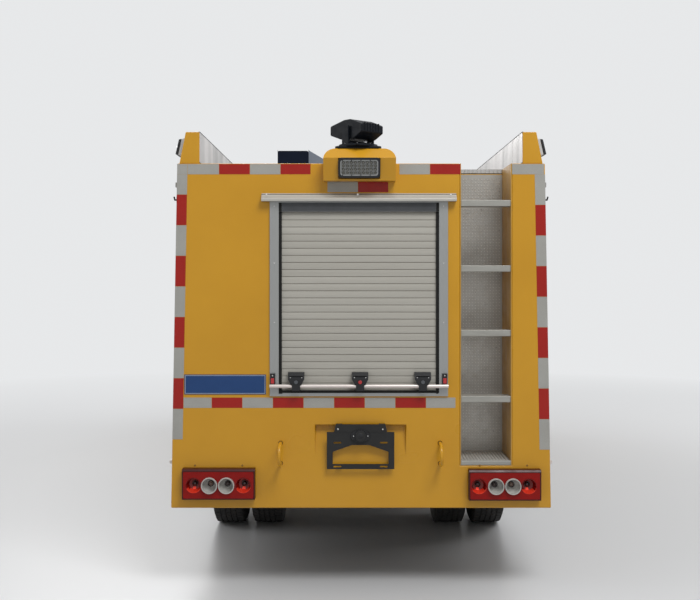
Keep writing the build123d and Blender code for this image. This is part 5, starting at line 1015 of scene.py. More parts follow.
rimCorner, silverCorner = workLamp["innerCorners"]
trimIn = rim + workLamp["silver"]
addRing(bezel, shrunk(0), shrunk(rim), face, workLamp["deep"], workLamp["corner"], rimCorner)
addRing(trim, shrunk(rim), shrunk(trimIn), face + 0.002, 0.02, rimCorner, silverCorner)
addBlock(trim, (x0 + rim, face + 0.012, z0 + rim), (x1 - rim, face + 0.030, z1 - rim))
cupX = (x1 - x0 - 2 * trimIn) / workLamp["columns"]
cupZ = (z1 - z0 - 2 * trimIn) / workLamp["rows"]
for row in range(workLamp["rows"]):
    for column in range(workLamp["columns"]):
        place = (x0 + trimIn + (column + 0.5) * cupX, face + 0.0125, z0 + trimIn + (row + 0.5) * cupZ)
        addSpun(cups, workLamp["cup"], place, backwards, 12)
        addDome(chips, (place[0], place[1] - 0.0006, place[2]), backwards, 0.0030, 0.0020, rings=2, steps=8)
screwIn = rim + workLamp["screwIn"]
for index in range(workLamp["screws"]):  # four above the cups, four below
    along = (index % 4 + 0.12 + 0.25 * (index % 4) / 3) / 4.2
    x = x0 + trimIn + along * (x1 - x0 - 2 * trimIn)
    z = z1 - screwIn if index < 4 else z0 + screwIn
    addDome(bezel, (x, face + 0.002, z), backwards, 0.0030, 0.0022, rings=2, steps=8)
leaning = Matrix.Rotation(radians(workLamp["lean"]), 3, "X")
for bm in (bezel, trim, cups, chips):
    bmesh.ops.rotate(bm, cent=(0, face, workLamp["top"]), matrix=leaning, verts=bm.verts[:])
finishPiece(bezel, "workLampBezel", blackPlastic, "root", bevel=0.0015)
finishPiece(trim, "workLampTrim", alloy, "root", bevel=0.0008)
finishPiece(cups, "workLampCups", ledCup, "root", smooth=50)
finishPiece(chips, "workLampChips", ledChip, "root")
print("hood and work lamp made")

# Searchlight, mast, floods and parapets
shellBlack = plasticFinish(
    "lampShell", (0.003, 0.004, 0.006), (0.009, 0.011, 0.015), 0.42, 0.58, Specular_IOR_Level=0.12,
)
softCopy("searchlight_base", "searchlightFlange", shellBlack, "root", 0.003)
softCopy(
    "searchlight_neck", "searchlightYoke", shellBlack, "searchlight_turn", 0.0035,
    segments=3,
)
lampHead = softCopy(
    "searchlight_head", "searchlightBody", shellBlack, "searchlight_lamp", 0.010,
    segments=4,
)
searchlight = {
    "middle": (-0.014, -2.862, 2.250), "turn": 42,
    "reach": 0.100, "half": 0.062, "low": -0.009, "high": 0.024,
    "fins": 6, "finPitch": 0.018, "finHalf": 0.0022, "boltReach": 0.086, "snout": 0.024, "neck": 0.045,
    "saddle": (
        (-0.078, -0.078), (0.078, -0.078), (0.024, -0.0605), (0.003, -0.0495), (-0.003, -0.0495),
        (-0.024, -0.0605),
    ),
    "saddleHalf": 0.0775, "finY": (-0.102, -0.030), "finZ": (-0.010, 0.031), "boltZ": -0.0678, "bolts": 8,
}
beam = Matrix.Translation(searchlight["middle"]) @ Matrix.Rotation(radians(searchlight["turn"]), 4, "Z")
lens, fins, bolts, saddle = (bmesh.new() for each in range(4))
for vertex in lampHead.data.vertices:
    local = beam.inverted() @ vertex.co
    if local.y > searchlight["neck"]:
        share = (local.y - searchlight["neck"]) / (searchlight["reach"] - searchlight["neck"])
        local.y += share * searchlight["snout"]
        vertex.co = beam @ local
half = searchlight["saddleHalf"]
addPrism(saddle, [(-half, y, z) for y, z in searchlight["saddle"]], (2 * half, 0, 0))
half, tip = searchlight["half"], searchlight["reach"] + searchlight["snout"]
addBlock(lens, (-half, tip - 0.002, searchlight["low"]), (half, tip + 0.0015, searchlight["high"]))
(y0, y1), (z0, z1), half = searchlight["finY"], searchlight["finZ"], searchlight["finHalf"]
for index in range(searchlight["fins"]):
    x = (index - (searchlight["fins"] - 1) / 2) * searchlight["finPitch"]
    addBlock(fins, (x - half, y0, z0), (x + half, y1, z1))
for index in range(searchlight["bolts"]):
    angle = 2 * pi * index / searchlight["bolts"]
    x, y = searchlight["boltReach"] * cos(angle), searchlight["boltReach"] * sin(angle)
    addDome(bolts, (x, y, searchlight["boltZ"]), upwards, 0.0042, 0.0032, rings=2, steps=8, base=0.0012)
for bm in (lens, fins, bolts, saddle):
    bmesh.ops.transform(bm, matrix=beam, verts=bm.verts[:])
finishPiece(lens, "searchlightLens", reflector, "searchlight_lamp", bevel=0.001)
finishPiece(saddle, "searchlightSaddle", shellBlack, "searchlight_turn", bevel=0.003)
finishPiece(fins, "searchlightFins", shellBlack, "searchlight_lamp", bevel=0.0008)
finishPiece(bolts, "searchlightBolts", boltSteel, "searchlight_turn")

mast = {
    "x": -0.376, "pivotZ": 2.205, "top": 2.270, "lampY": (-0.686, -0.604), "panels": (-0.108, 0.108),
    "panelHalf": 0.094, "frame": 0.008, "collarY": (-0.760, -0.712), "collarHalf": 0.035,
    "lid": 2.255, "sunk": 0.016, "flank": 0.0885,
    "diodes": {"rows": 3, "columns": 8, "first": (0.0192, 0.0205), "pitch": (0.0214, 0.0205)},
}
housing = softCopy("mast_base", "mastHousing", (navyPlastic, flankPaintedLight), "root", 0.004)
for vertex in housing.data.vertices:
    if vertex.co.z > mast["lid"]:
        vertex.co.z -= mast["sunk"]
# the housing right of this cut takes the lighter finish, painted light on its right flank
flankX = mast["x"] + mast["flank"]
paintBands(housing, [((flankX, 0, 0), (1, 0, 0))], lambda middle: int(middle.x > flankX))
softCopy("mast_arm", "mastTube", alloy, "mast_arm", 0.0035)
softCopy("mast_head", "mastLampBody", blackPlastic, "mast_extension", 0.006)
frames, panels, diodes, collar = (bmesh.new() for each in range(4))
for offset in mast["panels"]:
    x0, x1 = mast["x"] + offset - mast["panelHalf"], mast["x"] + offset + mast["panelHalf"]
    (y0, y1), wide, top = mast["lampY"], mast["frame"], mast["top"]
    for a0, b0, a1, b1 in borderBars(x0, y0, x1, y1, wide):
        addBlock(frames, (a0, b0, top - 0.001), (a1, b1, top + 0.006))
    addBlock(panels, (x0 + wide, y0 + wide, top - 0.001), (x1 - wide, y1 - wide, top + 0.001))
    (firstX, firstY), (pitchX, pitchY) = mast["diodes"]["first"], mast["diodes"]["pitch"]
    for row in range(mast["diodes"]["rows"]):
        for column in range(mast["diodes"]["columns"]):
            place = (x0 + firstX + column * pitchX, y0 + firstY + row * pitchY, top + 0.001)
            addDome(diodes, place, upwards, 0.0080, 0.0030, rings=3, steps=12)
(y0, y1), half = mast["collarY"], mast["collarHalf"]
addBlock(
    collar, (mast["x"] - half, y0, mast["pivotZ"] - half), (mast["x"] + half, y1, mast["pivotZ"] + half),
)
finishPiece(frames, "mastLampFrames", alloy, "mast_extension", bevel=0.001)
finishPiece(panels, "mastLampPanels", reflector, "mast_extension")
finishPiece(diodes, "mastDiodes", ledChip, "mast_extension")
finishPiece(collar, "mastCollar", blackPlastic, "mast_arm", bevel=0.003)

parapet = {
    "inner": 0.793, "thick": 0.0014, "low": 2.093, "high": 2.2430, "rear": -2.882, "front": 0.222,
    "panel": 0.300, "joint": 0.0035, "topTrim": 0.0036, "footTrim": 0.003,
}
softCopy("roof_parapets", "roofFins", yellow, "root", 0.0030)
bright, capLines = bmesh.new(), bmesh.new()
for side in (-1, 1):
    y, front, gap = parapet["rear"], parapet["front"], parapet["joint"] / 2
    low, high = parapet["low"], parapet["high"]
    x0, x1 = spanOf(side, parapet["inner"] - parapet["thick"], parapet["inner"] + 0.0004)
    while y < front - 0.02:
        end = min(y + parapet["panel"], front)
        addBlock(bright, (x0, y + gap, low), (x1, end - gap, high))
        y = end
    x0, x1 = spanOf(side, parapet["inner"] - 0.0018, parapet["inner"] + 0.004)
    addBlock(capLines, (x0, parapet["rear"], high), (x1, front, high + parapet["topTrim"]))
    addBlock(capLines, (x0, parapet["rear"], low), (x1, front, low + parapet["footTrim"]))
finishPiece(bright, "parapetPanels", parapetPanel, "root", bevel=0.0003)
finishPiece(capLines, "parapetTrim", sealRubber, "root")

# Side floods: alloy body, black outer frame, clear strip
flood = {
    "y": (-2.850, -2.660), "foot": (0.8828, 2.136), "head": (0.8658, 2.221),
    "outFoot": (0.9168, 2.140), "outHead": (0.8998, 2.213), "share": 0.62,
    "strip": (0.14, 0.86), "stripOut": 0.0016, "diodes": 9,
}
hook = {  # a small black rope hook near the top of each side
    "y": -2.846, "stem": (0.9035, 0.9215, 1.914), "tip": ((0.9195, 1.912), (0.9245, 1.930)),
    "plate": ((-2.862, 1.900), (-2.830, 1.928)), "plateX": (0.9053, 0.9097), "radii": (0.0042, 0.0040),
}
floodBody, floodFrame, floodLens, hooks = (bmesh.new() for each in range(4))


def between(a, b, share):
    return tuple(p + (q - p) * share for p, q in zip(a, b))


for side in (-1, 1):
    y0, y1 = flood["y"]
    midFoot = between(flood["foot"], flood["outFoot"], flood["share"])
    midHead = between(flood["head"], flood["outHead"], flood["share"])
    for bm, ring, a, b in (
        (floodBody, (flood["foot"], midFoot, midHead, flood["head"]), y0 + 0.004, y1 - 0.004),
        (floodFrame, (midFoot, flood["outFoot"], flood["outHead"], midHead), y0, y1),
    ):
        addPrism(bm, [(side * x, a, z) for x, z in ring], (0, b - a, 0))
    inLow, inHigh = (between(flood["outFoot"], flood["outHead"], share) for share in flood["strip"])
    out = flood["stripOut"]
    ring = (inLow, (inLow[0] + out, inLow[1]), (inHigh[0] + out, inHigh[1]), inHigh)
    addPrism(floodLens, [(side * x, y0 + 0.012, z) for x, z in ring], (0, y1 - y0 - 0.024, 0))
    x, z = between(flood["outFoot"], flood["outHead"], 0.5)
    for index in range(flood["diodes"]):
        y = y0 + 0.018 + index * (y1 - y0 - 0.036) / (flood["diodes"] - 1)
        addDome(floodLens, (side * (x + 0.0012), y, z), (side, 0, 0.2), 0.0085, 0.004, rings=3, steps=12)
    y, (rootX, endX, z), (tipLow, tipHigh) = hook["y"], hook["stem"], hook["tip"]
    addRod(hooks, (side * rootX, y, z), (side * endX, y, z), hook["radii"][0], 12)
    addRod(
        hooks, (side * tipLow[0], y, tipLow[1]), (side * tipHigh[0], y, tipHigh[1]), hook["radii"][1], 12,
    )
    (a0, a1), (low, high) = spanOf(side, *hook["plateX"]), hook["plate"]
    addBlock(hooks, (a0, *low), (a1, *high))
finishPiece(
    floodBody, "floodBodies", wheelSilver, "root", bevel=0.0012, replaces=("work_lamps",),
)
finishPiece(floodFrame, "floodFrames", blackPlastic, "root", bevel=0.0016)
finishPiece(floodLens, "floodLenses", reflector, "root", bevel=0.0004)
finishPiece(hooks, "sideHooks", blackPlastic, "root", bevel=0.0006)
print("roof pieces made")

# Tyres: a spun carcass, five ribs of skewed blocks, made once and copied to each wheel
tyre = {
    "radius": 0.3868, "base": 0.3770, "pitches": 62, "cut": 0.0034, "skew": 0.0045,
    "ribs": ((-0.0835, -0.0500), (-0.0440, -0.0185), (-0.0125, 0.0125), (0.0185, 0.0440), (0.0500, 0.0835)),
    "half": (
        (0.0, 0.2070), (0.064, 0.2035), (0.0715, 0.2035), (0.0775, 0.2130), (0.0830, 0.2200),
        (0.0870, 0.2340), (0.0945, 0.2560), (0.0988, 0.2800), (0.0998, 0.3000), (0.0985, 0.3150),
        (0.0992, 0.3190), (0.0985, 0.3230), (0.0962, 0.3360), (0.0930, 0.3520), (0.0905, 0.3610),
        (0.0918, 0.3645), (0.0900, 0.3690), (0.0858, 0.3775), (0.0800, 0.3795), (0.0, 0.3802),
    ),
    "front": ((0.700, 1.905),), "rear": ((0.786, -1.455), (0.554, -1.455)), "height": 0.3875,
    "edgeSkew": 1.6, "shoulder": (0.08, 0.38, 0.0022), "chamfer": 0.0011,
}
profile = [(-x, r) for x, r in tyre["half"]] + [(x, r) for x, r in reversed(tyre["half"][:-1])]
mould = bmesh.new()
arc = 2 * pi / tyre["pitches"]
shoulderX, shoulderZ, shoulderDrop = tyre["shoulder"]
for index, (x0, x1) in enumerate(tyre["ribs"]):
    length = arc * tyre["radius"] - tyre["cut"]
    edge = abs(index - 2) == 2
    for step in range(tyre["pitches"]):
        block = addBlock(mould, (x0, -length / 2, tyre["base"]), (x1, length / 2, tyre["radius"]))
        for vert in block:
            share = (vert.co.x - x0) / (x1 - x0) - 0.5
            lean = (1 if index % 2 else -1) * (tyre["edgeSkew"] if edge else 1.0)
            vert.co.y += share * tyre["skew"] * lean
            if edge and abs(vert.co.x) > shoulderX and vert.co.z > shoulderZ:
                vert.co.z -= shoulderDrop
        turn = Matrix.Rotation(arc * (step + 0.5 * (index % 2)), 4, "X")
        bmesh.ops.transform(mould, matrix=turn, verts=block)
bmesh.ops.bevel(
    mould, geom=mould.edges[:], offset=tyre["chamfer"], segments=1, profile=0.5, affect="EDGES",
    material=-1, clamp_overlap=True,
)
addSpun(mould, profile, (0, 0, 0), (1, 0, 0), 112)
mouldMesh = bpy.data.meshes.new("tyreMould")
mould.to_mesh(mouldMesh)
mould.free()
for side, name in ((-1, "left"), (1, "right")):
    for end, places, suffix in (("front", tyre["front"], "tyre"), ("rear", tyre["rear"], "tyres")):
        bm = bmesh.new()
        for x, y in places:
            before = len(bm.verts)
            bm.from_mesh(mouldMesh)
            bm.verts.ensure_lookup_table()
            bmesh.ops.translate(bm, verts=bm.verts[before:], vec=(side * x, y, tyre["height"]))
        body = f"{end}_{name}_wheel" + ("s" if end == "rear" else "")
        replaced = (f"{end}_{name}_{suffix}",)
        finishPiece(
            bm, f"{end}{name.capitalize()}Rubber", rubber, body, smooth=40,
            replaces=replaced,
        )
bpy.data.meshes.remove(mouldMesh)
print("tyres made")

# Wheels: nuts, hub caps and valves on the pressed steel discs
wheel = {
    "height": 0.3875, "nutRing": 0.105, "nuts": 6, "nutRadius": 0.0155, "nutLong": 0.020, "stud": 0.0085,
    "front": {"y": 1.905, "face": 0.816, "hub": 0.858, "boltRing": 0.070, "bolts": 6, "cap": 0.052},
    "rear": {"y": -1.455, "face": 0.679, "hub": 0.752, "boltRing": 0.062, "bolts": 8, "cap": 0.036},
    "valveRing": 0.150, "firstNut": 0.3, "washer": (1.25, 0.003), "studLong": 0.009,
    "bolt": (0.0085, 0.007),
    # hub cap: (distance out, share of the cap's radius, added radius)
    "capProfile": (
        (0.0, 1, 0.004), (0.004, 1, 0.004), (0.005, 1, 0), (0.016, 1, -0.002), (0.0195, 1, -0.007),
        (0.0185, 0.5, 0), (0.0195, 0, 0),
    ),
}
for side, name in ((-1, "left"), (1, "right")):
    for end in ("front", "rear"):
        spec = wheel[end]
        body = f"{end}_{name}_wheel" + ("s" if end == "rear" else "")
        softCopy(body, f"{end}{name.capitalize()}Disc", wheelSilver, body, 0.0014)
        nuts, caps = bmesh.new(), bmesh.new()
        centre = Vector((0, spec["y"], wheel["height"]))
        out, (washerWide, washerThick) = Vector((side, 0, 0)), wheel["washer"]
        for index in range(wheel["nuts"]):
            angle = 2 * pi * index / wheel["nuts"] + wheel["firstNut"]
            spot = centre + Vector((0, wheel["nutRing"] * cos(angle), wheel["nutRing"] * sin(angle)))
            foot = spot + Vector((side * spec["face"], 0, 0))
            base, top = foot + out * washerThick, foot + out * wheel["nutLong"]
            addRod(nuts, foot, base, wheel["nutRadius"] * washerWide, 20)
            addRod(nuts, base, top, wheel["nutRadius"], 6)
            addRod(nuts, top, foot + out * (wheel["nutLong"] + wheel["studLong"]), wheel["stud"], 14)
        hub = centre + Vector((side * spec["hub"], 0, 0))
        for index in range(spec["bolts"]):
            angle = 2 * pi * index / spec["bolts"]
            spot = hub + Vector((0, spec["boltRing"] * cos(angle), spec["boltRing"] * sin(angle)))
            addRod(nuts, spot, spot + out * wheel["bolt"][1], wheel["bolt"][0], 6)
        profile = [(along, spec["cap"] * share + more) for along, share, more in wheel["capProfile"]]
        addSpun(caps, profile, hub, (side, 0, 0), 40)
        valve = centre + Vector((side * (spec["face"] - 0.012), wheel["valveRing"], 0.01))
        addRod(nuts, valve, valve + Vector((side * 0.030, 0.004, 0)), 0.0038, 10)
        addRod(
            nuts, valve + Vector((side * 0.024, 0.004, 0)), valve + Vector((side * 0.034, 0.005, 0)),
            0.0052, 10,
        )
        finishPiece(nuts, f"{end}{name.capitalize()}Nuts", boltSteel, body, bevel=0.0008)
        finishPiece(caps, f"{end}{name.capitalize()}Cap", wheelSilver, body)
print("wheels fitted")

# Side walls and cab sides: arch lips, lower tape, marker lamps
sides = {
    "arches": {
        "root": {
            "y": -1.455, "z": 0.3875, "inner": 0.4555, "outer": 0.4745, "x": (0.908, 0.939), "from": 2,
        },
        "cab": {"y": 1.905, "z": 0.3875, "inner": 0.4705, "outer": 0.4895, "x": (0.860, 0.893), "from": 27},
    },
    "tapeHigh": 0.050, "tapeThick": 0.0008,
    "tapeRuns": {
        "root": ((-2.860, -1.960, 0.470), (-0.960, 0.200, 0.470)),
        "cab": ((0.340, 1.390, 0.640),),
    },
    "markers": {"root": ((-2.40, 0.545), (-0.40, 0.545)), "cab": ((2.705, 1.130),)},
    "markerHalf": (0.038, 0.015), "cabHalf": 0.880, "lipRound": 0.006,
}


def sideHalf(body, z):
    return wallHalf(z) if body == "root" else sides["cabHalf"]


for body, label in (("root", "Body"), ("cab", "Cab")):
    lips, markers, markerBase = bmesh.new(), bmesh.new(), bmesh.new()
    strips = {"red": bmesh.new(), "silver": bmesh.new()}
    arch = sides["arches"][body]
    for side in (-1, 1):
        x0, x1 = side * arch["x"][0], side * arch["x"][1]
        ring = [
            (x0, arch["inner"]), (x1, arch["inner"]), (x1, arch["outer"] - sides["lipRound"]),
            (x1 - side * sides["lipRound"], arch["outer"]), (x0, arch["outer"]),
        ]
        first = radians(arch["from"])
        corners = [
            lips.verts.new((x, arch["y"] + r * cos(first), arch["z"] + r * sin(first))) for x, r in ring
        ]
        bmesh.ops.spin(
            lips, geom=[lips.faces.new(corners)], cent=(0, arch["y"], arch["z"]), axis=(1, 0, 0),
            angle=radians(180 - 2 * arch["from"]), steps=44, use_merge=False, use_duplicate=False,
        )
        for low, high, z in sides["tapeRuns"][body]:
            y, tone = low, "red"
            while y < high - 0.03:
                end = min(y + tape["unit"], high)
                top = z + sides["tapeHigh"]
                foot, head = sideHalf(body, z), sideHalf(body, top)
                thick = sides["tapeThick"]
                ring = ((foot, z), (foot + thick, z), (head + thick, top), (head, top))
                ring = [(side * px, y + seam, pz) for px, pz in ring]
                addPrism(strips[tone], ring, (0, end - y - 2 * seam, 0))
                y, tone = end, otherTape[tone]
        halfY, halfZ = sides["markerHalf"]
        for y, z in sides["markers"][body]:
            x = sideHalf(body, z)
            a0, a1 = spanOf(side, x - 0.002, x + 0.004)
            addBlock(markerBase, (a0, y - halfY, z - halfZ), (a1, y + halfY, z + halfZ))
            a0, a1 = spanOf(side, x + 0.003, x + 0.015)
            addBlock(
                markers, (a0, y - halfY + 0.005, z - halfZ + 0.004),
                (a1, y + halfY - 0.005, z + halfZ - 0.004),
            )
    finishPiece(lips, f"archLips{label}", sealRubber, body)
    finishPiece(strips["red"], f"tapeRed{label}Sides", tapeRed, body)
    finishPiece(strips["silver"], f"tapeSilver{label}Sides", tapeSilver, body)
    finishPiece(markerBase, f"markerBases{label}", blackPlastic, body, bevel=0.0012)
    finishPiece(markers, f"markerLamps{label}", amberLens, body, bevel=0.0035)
softCopy("left_side_wall", "leftPanel", yellow, "root", 0.004)
softCopy("right_side_wall", "rightPanel", yellow, "root", 0.004)
print("sides fitted")

# Cab: rounded shell and doors, their inner faces in grey trim
trimGrey = plasticFinish("cabTrim", (0.150, 0.152, 0.156), (0.205, 0.207, 0.210), 0.5, 0.7, 500.0, 0.0003)
paintedTrim = (yellow, trimGrey)
cab = {
    "middle": (0, 1.615, 1.45), "side": 0.880, "belt": 1.200, "lean": 0.0589, "front": 2.930,
    "inside": ((-0.865, 0.315, 0.62), (0.865, 2.915, 2.172)),
}
doorBodies = [f"{place}_{side}_door" for place in ("front", "rear") for side in ("left", "right")]


def cabSide(z):
    return cab["side"] - max(0.0, z - cab["belt"]) * cab["lean"]


def doorStem(body):
    # front_left_door gives frontLeft
    place, side = body.split("_")[:2]
    return place + side.capitalize()


def doorSide(body):
    return -1 if "left" in body else 1


shell = softCopy("cab_shell", "cabShell", paintedTrim, "cab", 0.005)
for polygon in shell.data.polygons:
    within = all(low < c < high for low, c, high in zip(cab["inside"][0], polygon.center, cab["inside"][1]))
    if within and polygon.normal.dot(polygon.center - Vector(cab["middle"])) < 0:
        polygon.material_index = 1
for body in doorBodies:
    panel = softCopy(body, doorStem(body) + "DoorSkin", paintedTrim, body, 0.004)
    for polygon in panel.data.polygons:
        if polygon.normal.x * doorSide(body) < -0.4:
            polygon.material_index = 1

# Rubber seals: the outer face of each pane, inset to a rim and drawn out over the paint
seal = {"wide": 0.019, "high": 0.0158, "screenHigh": 0.0165, "screenWide": 0.026}


def addSeal(node, name, body, out, wide, high):
    bm = bmesh.new()
    bm.from_mesh(cadNodes[node].data)
    bmesh.ops.remove_doubles(bm, verts=bm.verts[:], dist=1e-5)
    bmesh.ops.dissolve_limit(
        bm, angle_limit=radians(1.0), verts=bm.verts[:], edges=bm.edges[:], delimit=set(),
    )
    bm.normal_update()
    pane = max(bm.faces, key=lambda f: f.calc_area() * f.normal.dot(Vector(out)))
    away = pane.normal.copy()
    bmesh.ops.delete(bm, geom=[f for f in bm.faces if f is not pane], context="FACES")
    inset = bmesh.ops.inset_region(
        bm, faces=[pane], thickness=wide, use_boundary=True, use_even_offset=True,
    )
    rim = inset["faces"]
    bmesh.ops.delete(bm, geom=[pane], context="FACES_ONLY")
    pushOut(bm, rim, away * high)
    bmesh.ops.translate(bm, verts=bm.verts[:], vec=away * 0.0004)
    return finishPiece(bm, name, sealRubber, body, bevel=0.003, segments=2)


for body in doorBodies:
    name, out = doorStem(body) + "WindowSeal", (doorSide(body), 0, 0)
    addSeal(body + "_glass", name, body, out, seal["wide"], seal["high"])
addSeal("windscreen", "screenSeal", "cab", (0, 1, 0.2), seal["screenWide"], seal["screenHigh"])

# Door handles: a dished plate, a pull and a lock barrel
handle = {
    "y": {"front": 1.745, "rear": 0.565}, "z": 1.132, "long": 0.086, "tall": 0.034, "plate": 0.0030,
    "pull": (0.074, 0.011), "out": 0.022, "lock": 0.105,
}
for body in doorBodies:
    side, stem = doorSide(body), doorStem(body)
    y, z, x = handle["y"][body.split("_")[0]], handle["z"], cab["side"]
    grips, locks = bmesh.new(), bmesh.new()
    for deep0, deep1, half, rise in (
        (-0.001, handle["plate"], handle["long"], handle["tall"]),
        (handle["out"] - 0.009, handle["out"], handle["pull"][0], handle["pull"][1]),
    ):
        a0, a1 = spanOf(side, x + deep0, x + deep1)
        addBlock(grips, (a0, y - half, z - rise), (a1, y + half, z + rise))
    for end in (-1, 1):
        a0, a1 = spanOf(side, x + 0.001, x + handle["out"] - 0.002)
        tip = y + end * (handle["pull"][0] - 0.009)
        addBlock(grips, (a0, tip - 0.009, z - 0.010), (a1, tip + 0.009, z + 0.010))
    addDome(
        locks, (side * x, y - handle["lock"], z), (side, 0, 0), 0.0115, 0.0050, rings=3, steps=24,
        base=0.003,
    )
    finishPiece(grips, stem + "Handle", blackPlastic, body, bevel=0.0028, segments=3)
    finishPiece(locks, stem + "Lock", boltSteel, body, bevel=0.0005)

# Rain gutters over the doors, wipers, mirrors and their glasses
extras = {
    "gutterZ": 2.0735, "gutterY": (0.400, 2.690),
    # (out from the cab's side, up) corners of the gutter
    "gutterRing": (
        (-0.003, 0), (0.011, 0), (0.011, 0.012), (0.009, 0.012), (0.008, 0.003), (-0.003, 0.003),
    ),
    "wipers": ((-0.10, -0.62, -0.06), (0.62, 0.02, 0.60)), "wiperFoot": (2.9265, 1.214), "bladeZ": 1.292,
    "screenFoot": (2.9030, 1.245), "screenSlope": 0.2160,
    "mirrorX": (0.958, 1.112), "mirrorZ": (1.430, 1.750), "mirrorY": 2.882,
}
gutters, wipers, mirrorGlass = bmesh.new(), bmesh.new(), bmesh.new()
for side in (-1, 1):
    z, (y0, y1) = extras["gutterZ"], extras["gutterY"]
    ring = [(side * (cabSide(z) + out), y0, z + up) for out, up in extras["gutterRing"]]
    addPrism(gutters, ring, (0, y1 - y0, 0))
    (a0, a1), y, (z0, z1) = spanOf(side, *extras["mirrorX"]), extras["mirrorY"], extras["mirrorZ"]
    addBlock(mirrorGlass, (a0, y - 0.0016, z0), (a1, y + 0.001, z1))


def screenY(z):
    return extras["screenFoot"][0] - (z - extras["screenFoot"][1]) * extras["screenSlope"]


for pivotX, leftX, rightX in extras["wipers"]:
    (footY, footZ), z = extras["wiperFoot"], extras["bladeZ"]
    middleX, y = (leftX + rightX) / 2, screenY(z)
    # pivot, arm, blade, its spine and the clip
    addRod(wipers, (pivotX, footY - 0.004, footZ), (pivotX, footY + 0.016, footZ + 0.003), 0.014, 20, 0.011)
    addRod(wipers, (pivotX, footY + 0.010, footZ + 0.002), (middleX, y + 0.022, z), 0.0052, 12, 0.0038)
    addBlock(wipers, (leftX, y + 0.0015, z - 0.0022), (rightX, y + 0.012, z + 0.0022))
    addRod(wipers, (leftX + 0.02, y + 0.013, z), (rightX - 0.02, y + 0.013, z), 0.0042, 10)
    addBlock(wipers, (middleX - 0.020, y + 0.012, z - 0.006), (middleX + 0.020, y + 0.027, z + 0.006))
finishPiece(gutters, "rainGutters", yellow, "cab", bevel=0.0006)
finishPiece(wipers, "wipers", blackPlastic, "cab", bevel=0.0008)
finishPiece(mirrorGlass, "mirrorGlasses", reflector, "cab", bevel=0.0010)
softCopy("mirrors", "mirrorHeads", blackPlastic, "cab", 0.009, segments=3)
print("cab dressed")

# Light bar: black plinth and middle, ribbed red covers each side
bar = {"base": 2.236, "middle": 0.092, "caps": 0.622}
barTones = (beaconRed, blackPlastic, greyPlastic)
barPiece = softCopy("light_bar", "lightBar", barTones, "cab", 0.012, segments=3)


def barTone(middle):
    # 0 is the red cover, 1 the plinth and end caps, 2 the middle box
    if middle.z < bar["base"] or abs(middle.x) > bar["caps"]:
        return 1
    return 2 if abs(middle.x) < bar["middle"] else 0


barCuts = [((0, 0, bar["base"]), upwards)]
barCuts += [((x, 0, 0), (1, 0, 0)) for x in (bar["middle"], -bar["middle"], bar["caps"], -bar["caps"])]
paintBands(barPiece, barCuts, barTone)

# Front: headlamps with bowls behind their covers, grille, bumper, fog lamps, blank plate
headlamp = {
    "back": 2.9312, "x": (0.612, 0.722), "z": 0.789, "radius": 0.0505, "amber": 0.786,
    "plate": ((0.551, 0.7225), (0.784, 0.711), (0.784, 0.869), (0.551, 0.8535)),
    "bowl": (
        (0.0, 0.0), (0.0, 1.0), (0.0150, 1.0), (0.0155, 0.94), (0.0090, 0.78), (0.0042, 0.45),
        (0.0030, 0.2), (0.0030, 0.0),
    ),
}
lampTones = (clearLens, amberLens)
covers = softCopy("headlamps", "headlampCovers", lampTones, "cab", 0.0025)
amberCuts = [((side * headlamp["amber"], 0, 0), (1, 0, 0)) for side in (-1, 1)]
paintBands(covers, amberCuts, lambda middle: int(abs(middle.x) > headlamp["amber"]))
backs, bowls, bulbs = bmesh.new(), bmesh.new(), bmesh.new()
for side in (-1, 1):
    addPrism(backs, [(side * x, headlamp["back"], z) for x, z in headlamp["plate"]], (0, 0.0022, 0))
    y, z = headlamp["back"], headlamp["z"]
    profile = [(along, share * headlamp["radius"]) for along, share in headlamp["bowl"]]
    for x in headlamp["x"]:
        addSpun(bowls, profile, (side * x, y + 0.0021, z), forwards, 48)
        addDome(bulbs, (side * x, y + 0.005, z), forwards, 0.0090, 0.0105, rings=4, steps=20, base=0.004)
finishPiece(backs, "headlampBacks", shellBlack, "cab", bevel=0.0006)
finishPiece(bowls, "headlampBowls", reflector, "cab", smooth=50)
finishPiece(bulbs, "headlampBulbs", bulbClear, "cab")

front = {
    "panel": ((-0.541, 0.700), (0.541, 0.700), (0.541, 1.100), (-0.541, 1.100)), "barZ": (0.893, 0.925),
    "bumper": 2.9975, "draw": 0.0045, "fogX": 0.665, "fogZ": 0.437, "fogRadius": 0.047,
    "plate": (0.220, 0.367, 0.507), "vents": (0.290, 0.565), "ventZ": (0.395, 0.480),
    "tread": ((-0.866, 2.714, 0.5402), (0.866, 2.936, 0.5436)), "treadRibs": 11, "ventBars": 5,
    "bar": ((-0.506, 2.9505), (0.506, 2.9565)), "drawFrom": 2.94, "plateEdge": 0.004,
    # fog lamp profiles: (distance out, share of the radius)
    "fogRing": (
        (-0.001, 0.82), (-0.001, 1.12), (0.0025, 1.12), (0.0042, 1.02), (0.0042, 0.86), (0.0012, 0.82),
        (-0.001, 0.82),
    ),
    "fogBowl": ((0.0, 0.0), (0.0, 0.83), (0.0014, 0.83), (0.0012, 0.4), (0.0024, 0.25), (0.0026, 0.0)),
}
panelMesh, trimBars = bmesh.new(), bmesh.new()
addPrism(panelMesh, [(x, cab["front"] - 0.0010, z) for x, z in front["panel"]], (0, 0.0032, 0))
low, high = front["bar"]
addBlock(trimBars, (*low, front["barZ"][0]), (*high, front["barZ"][1]))
finishPiece(panelMesh, "grillePanel", blackPlastic, "cab", bevel=0.001)
finishPiece(trimBars, "grilleBar", alloy, "cab", bevel=0.0025)
softCopy("grille", "grilleSlats", blackPlastic, "cab", 0.0022)
bumperPiece = softCopy("front_bumper", "bumperSkin", yellow, "root", 0.012, segments=3)
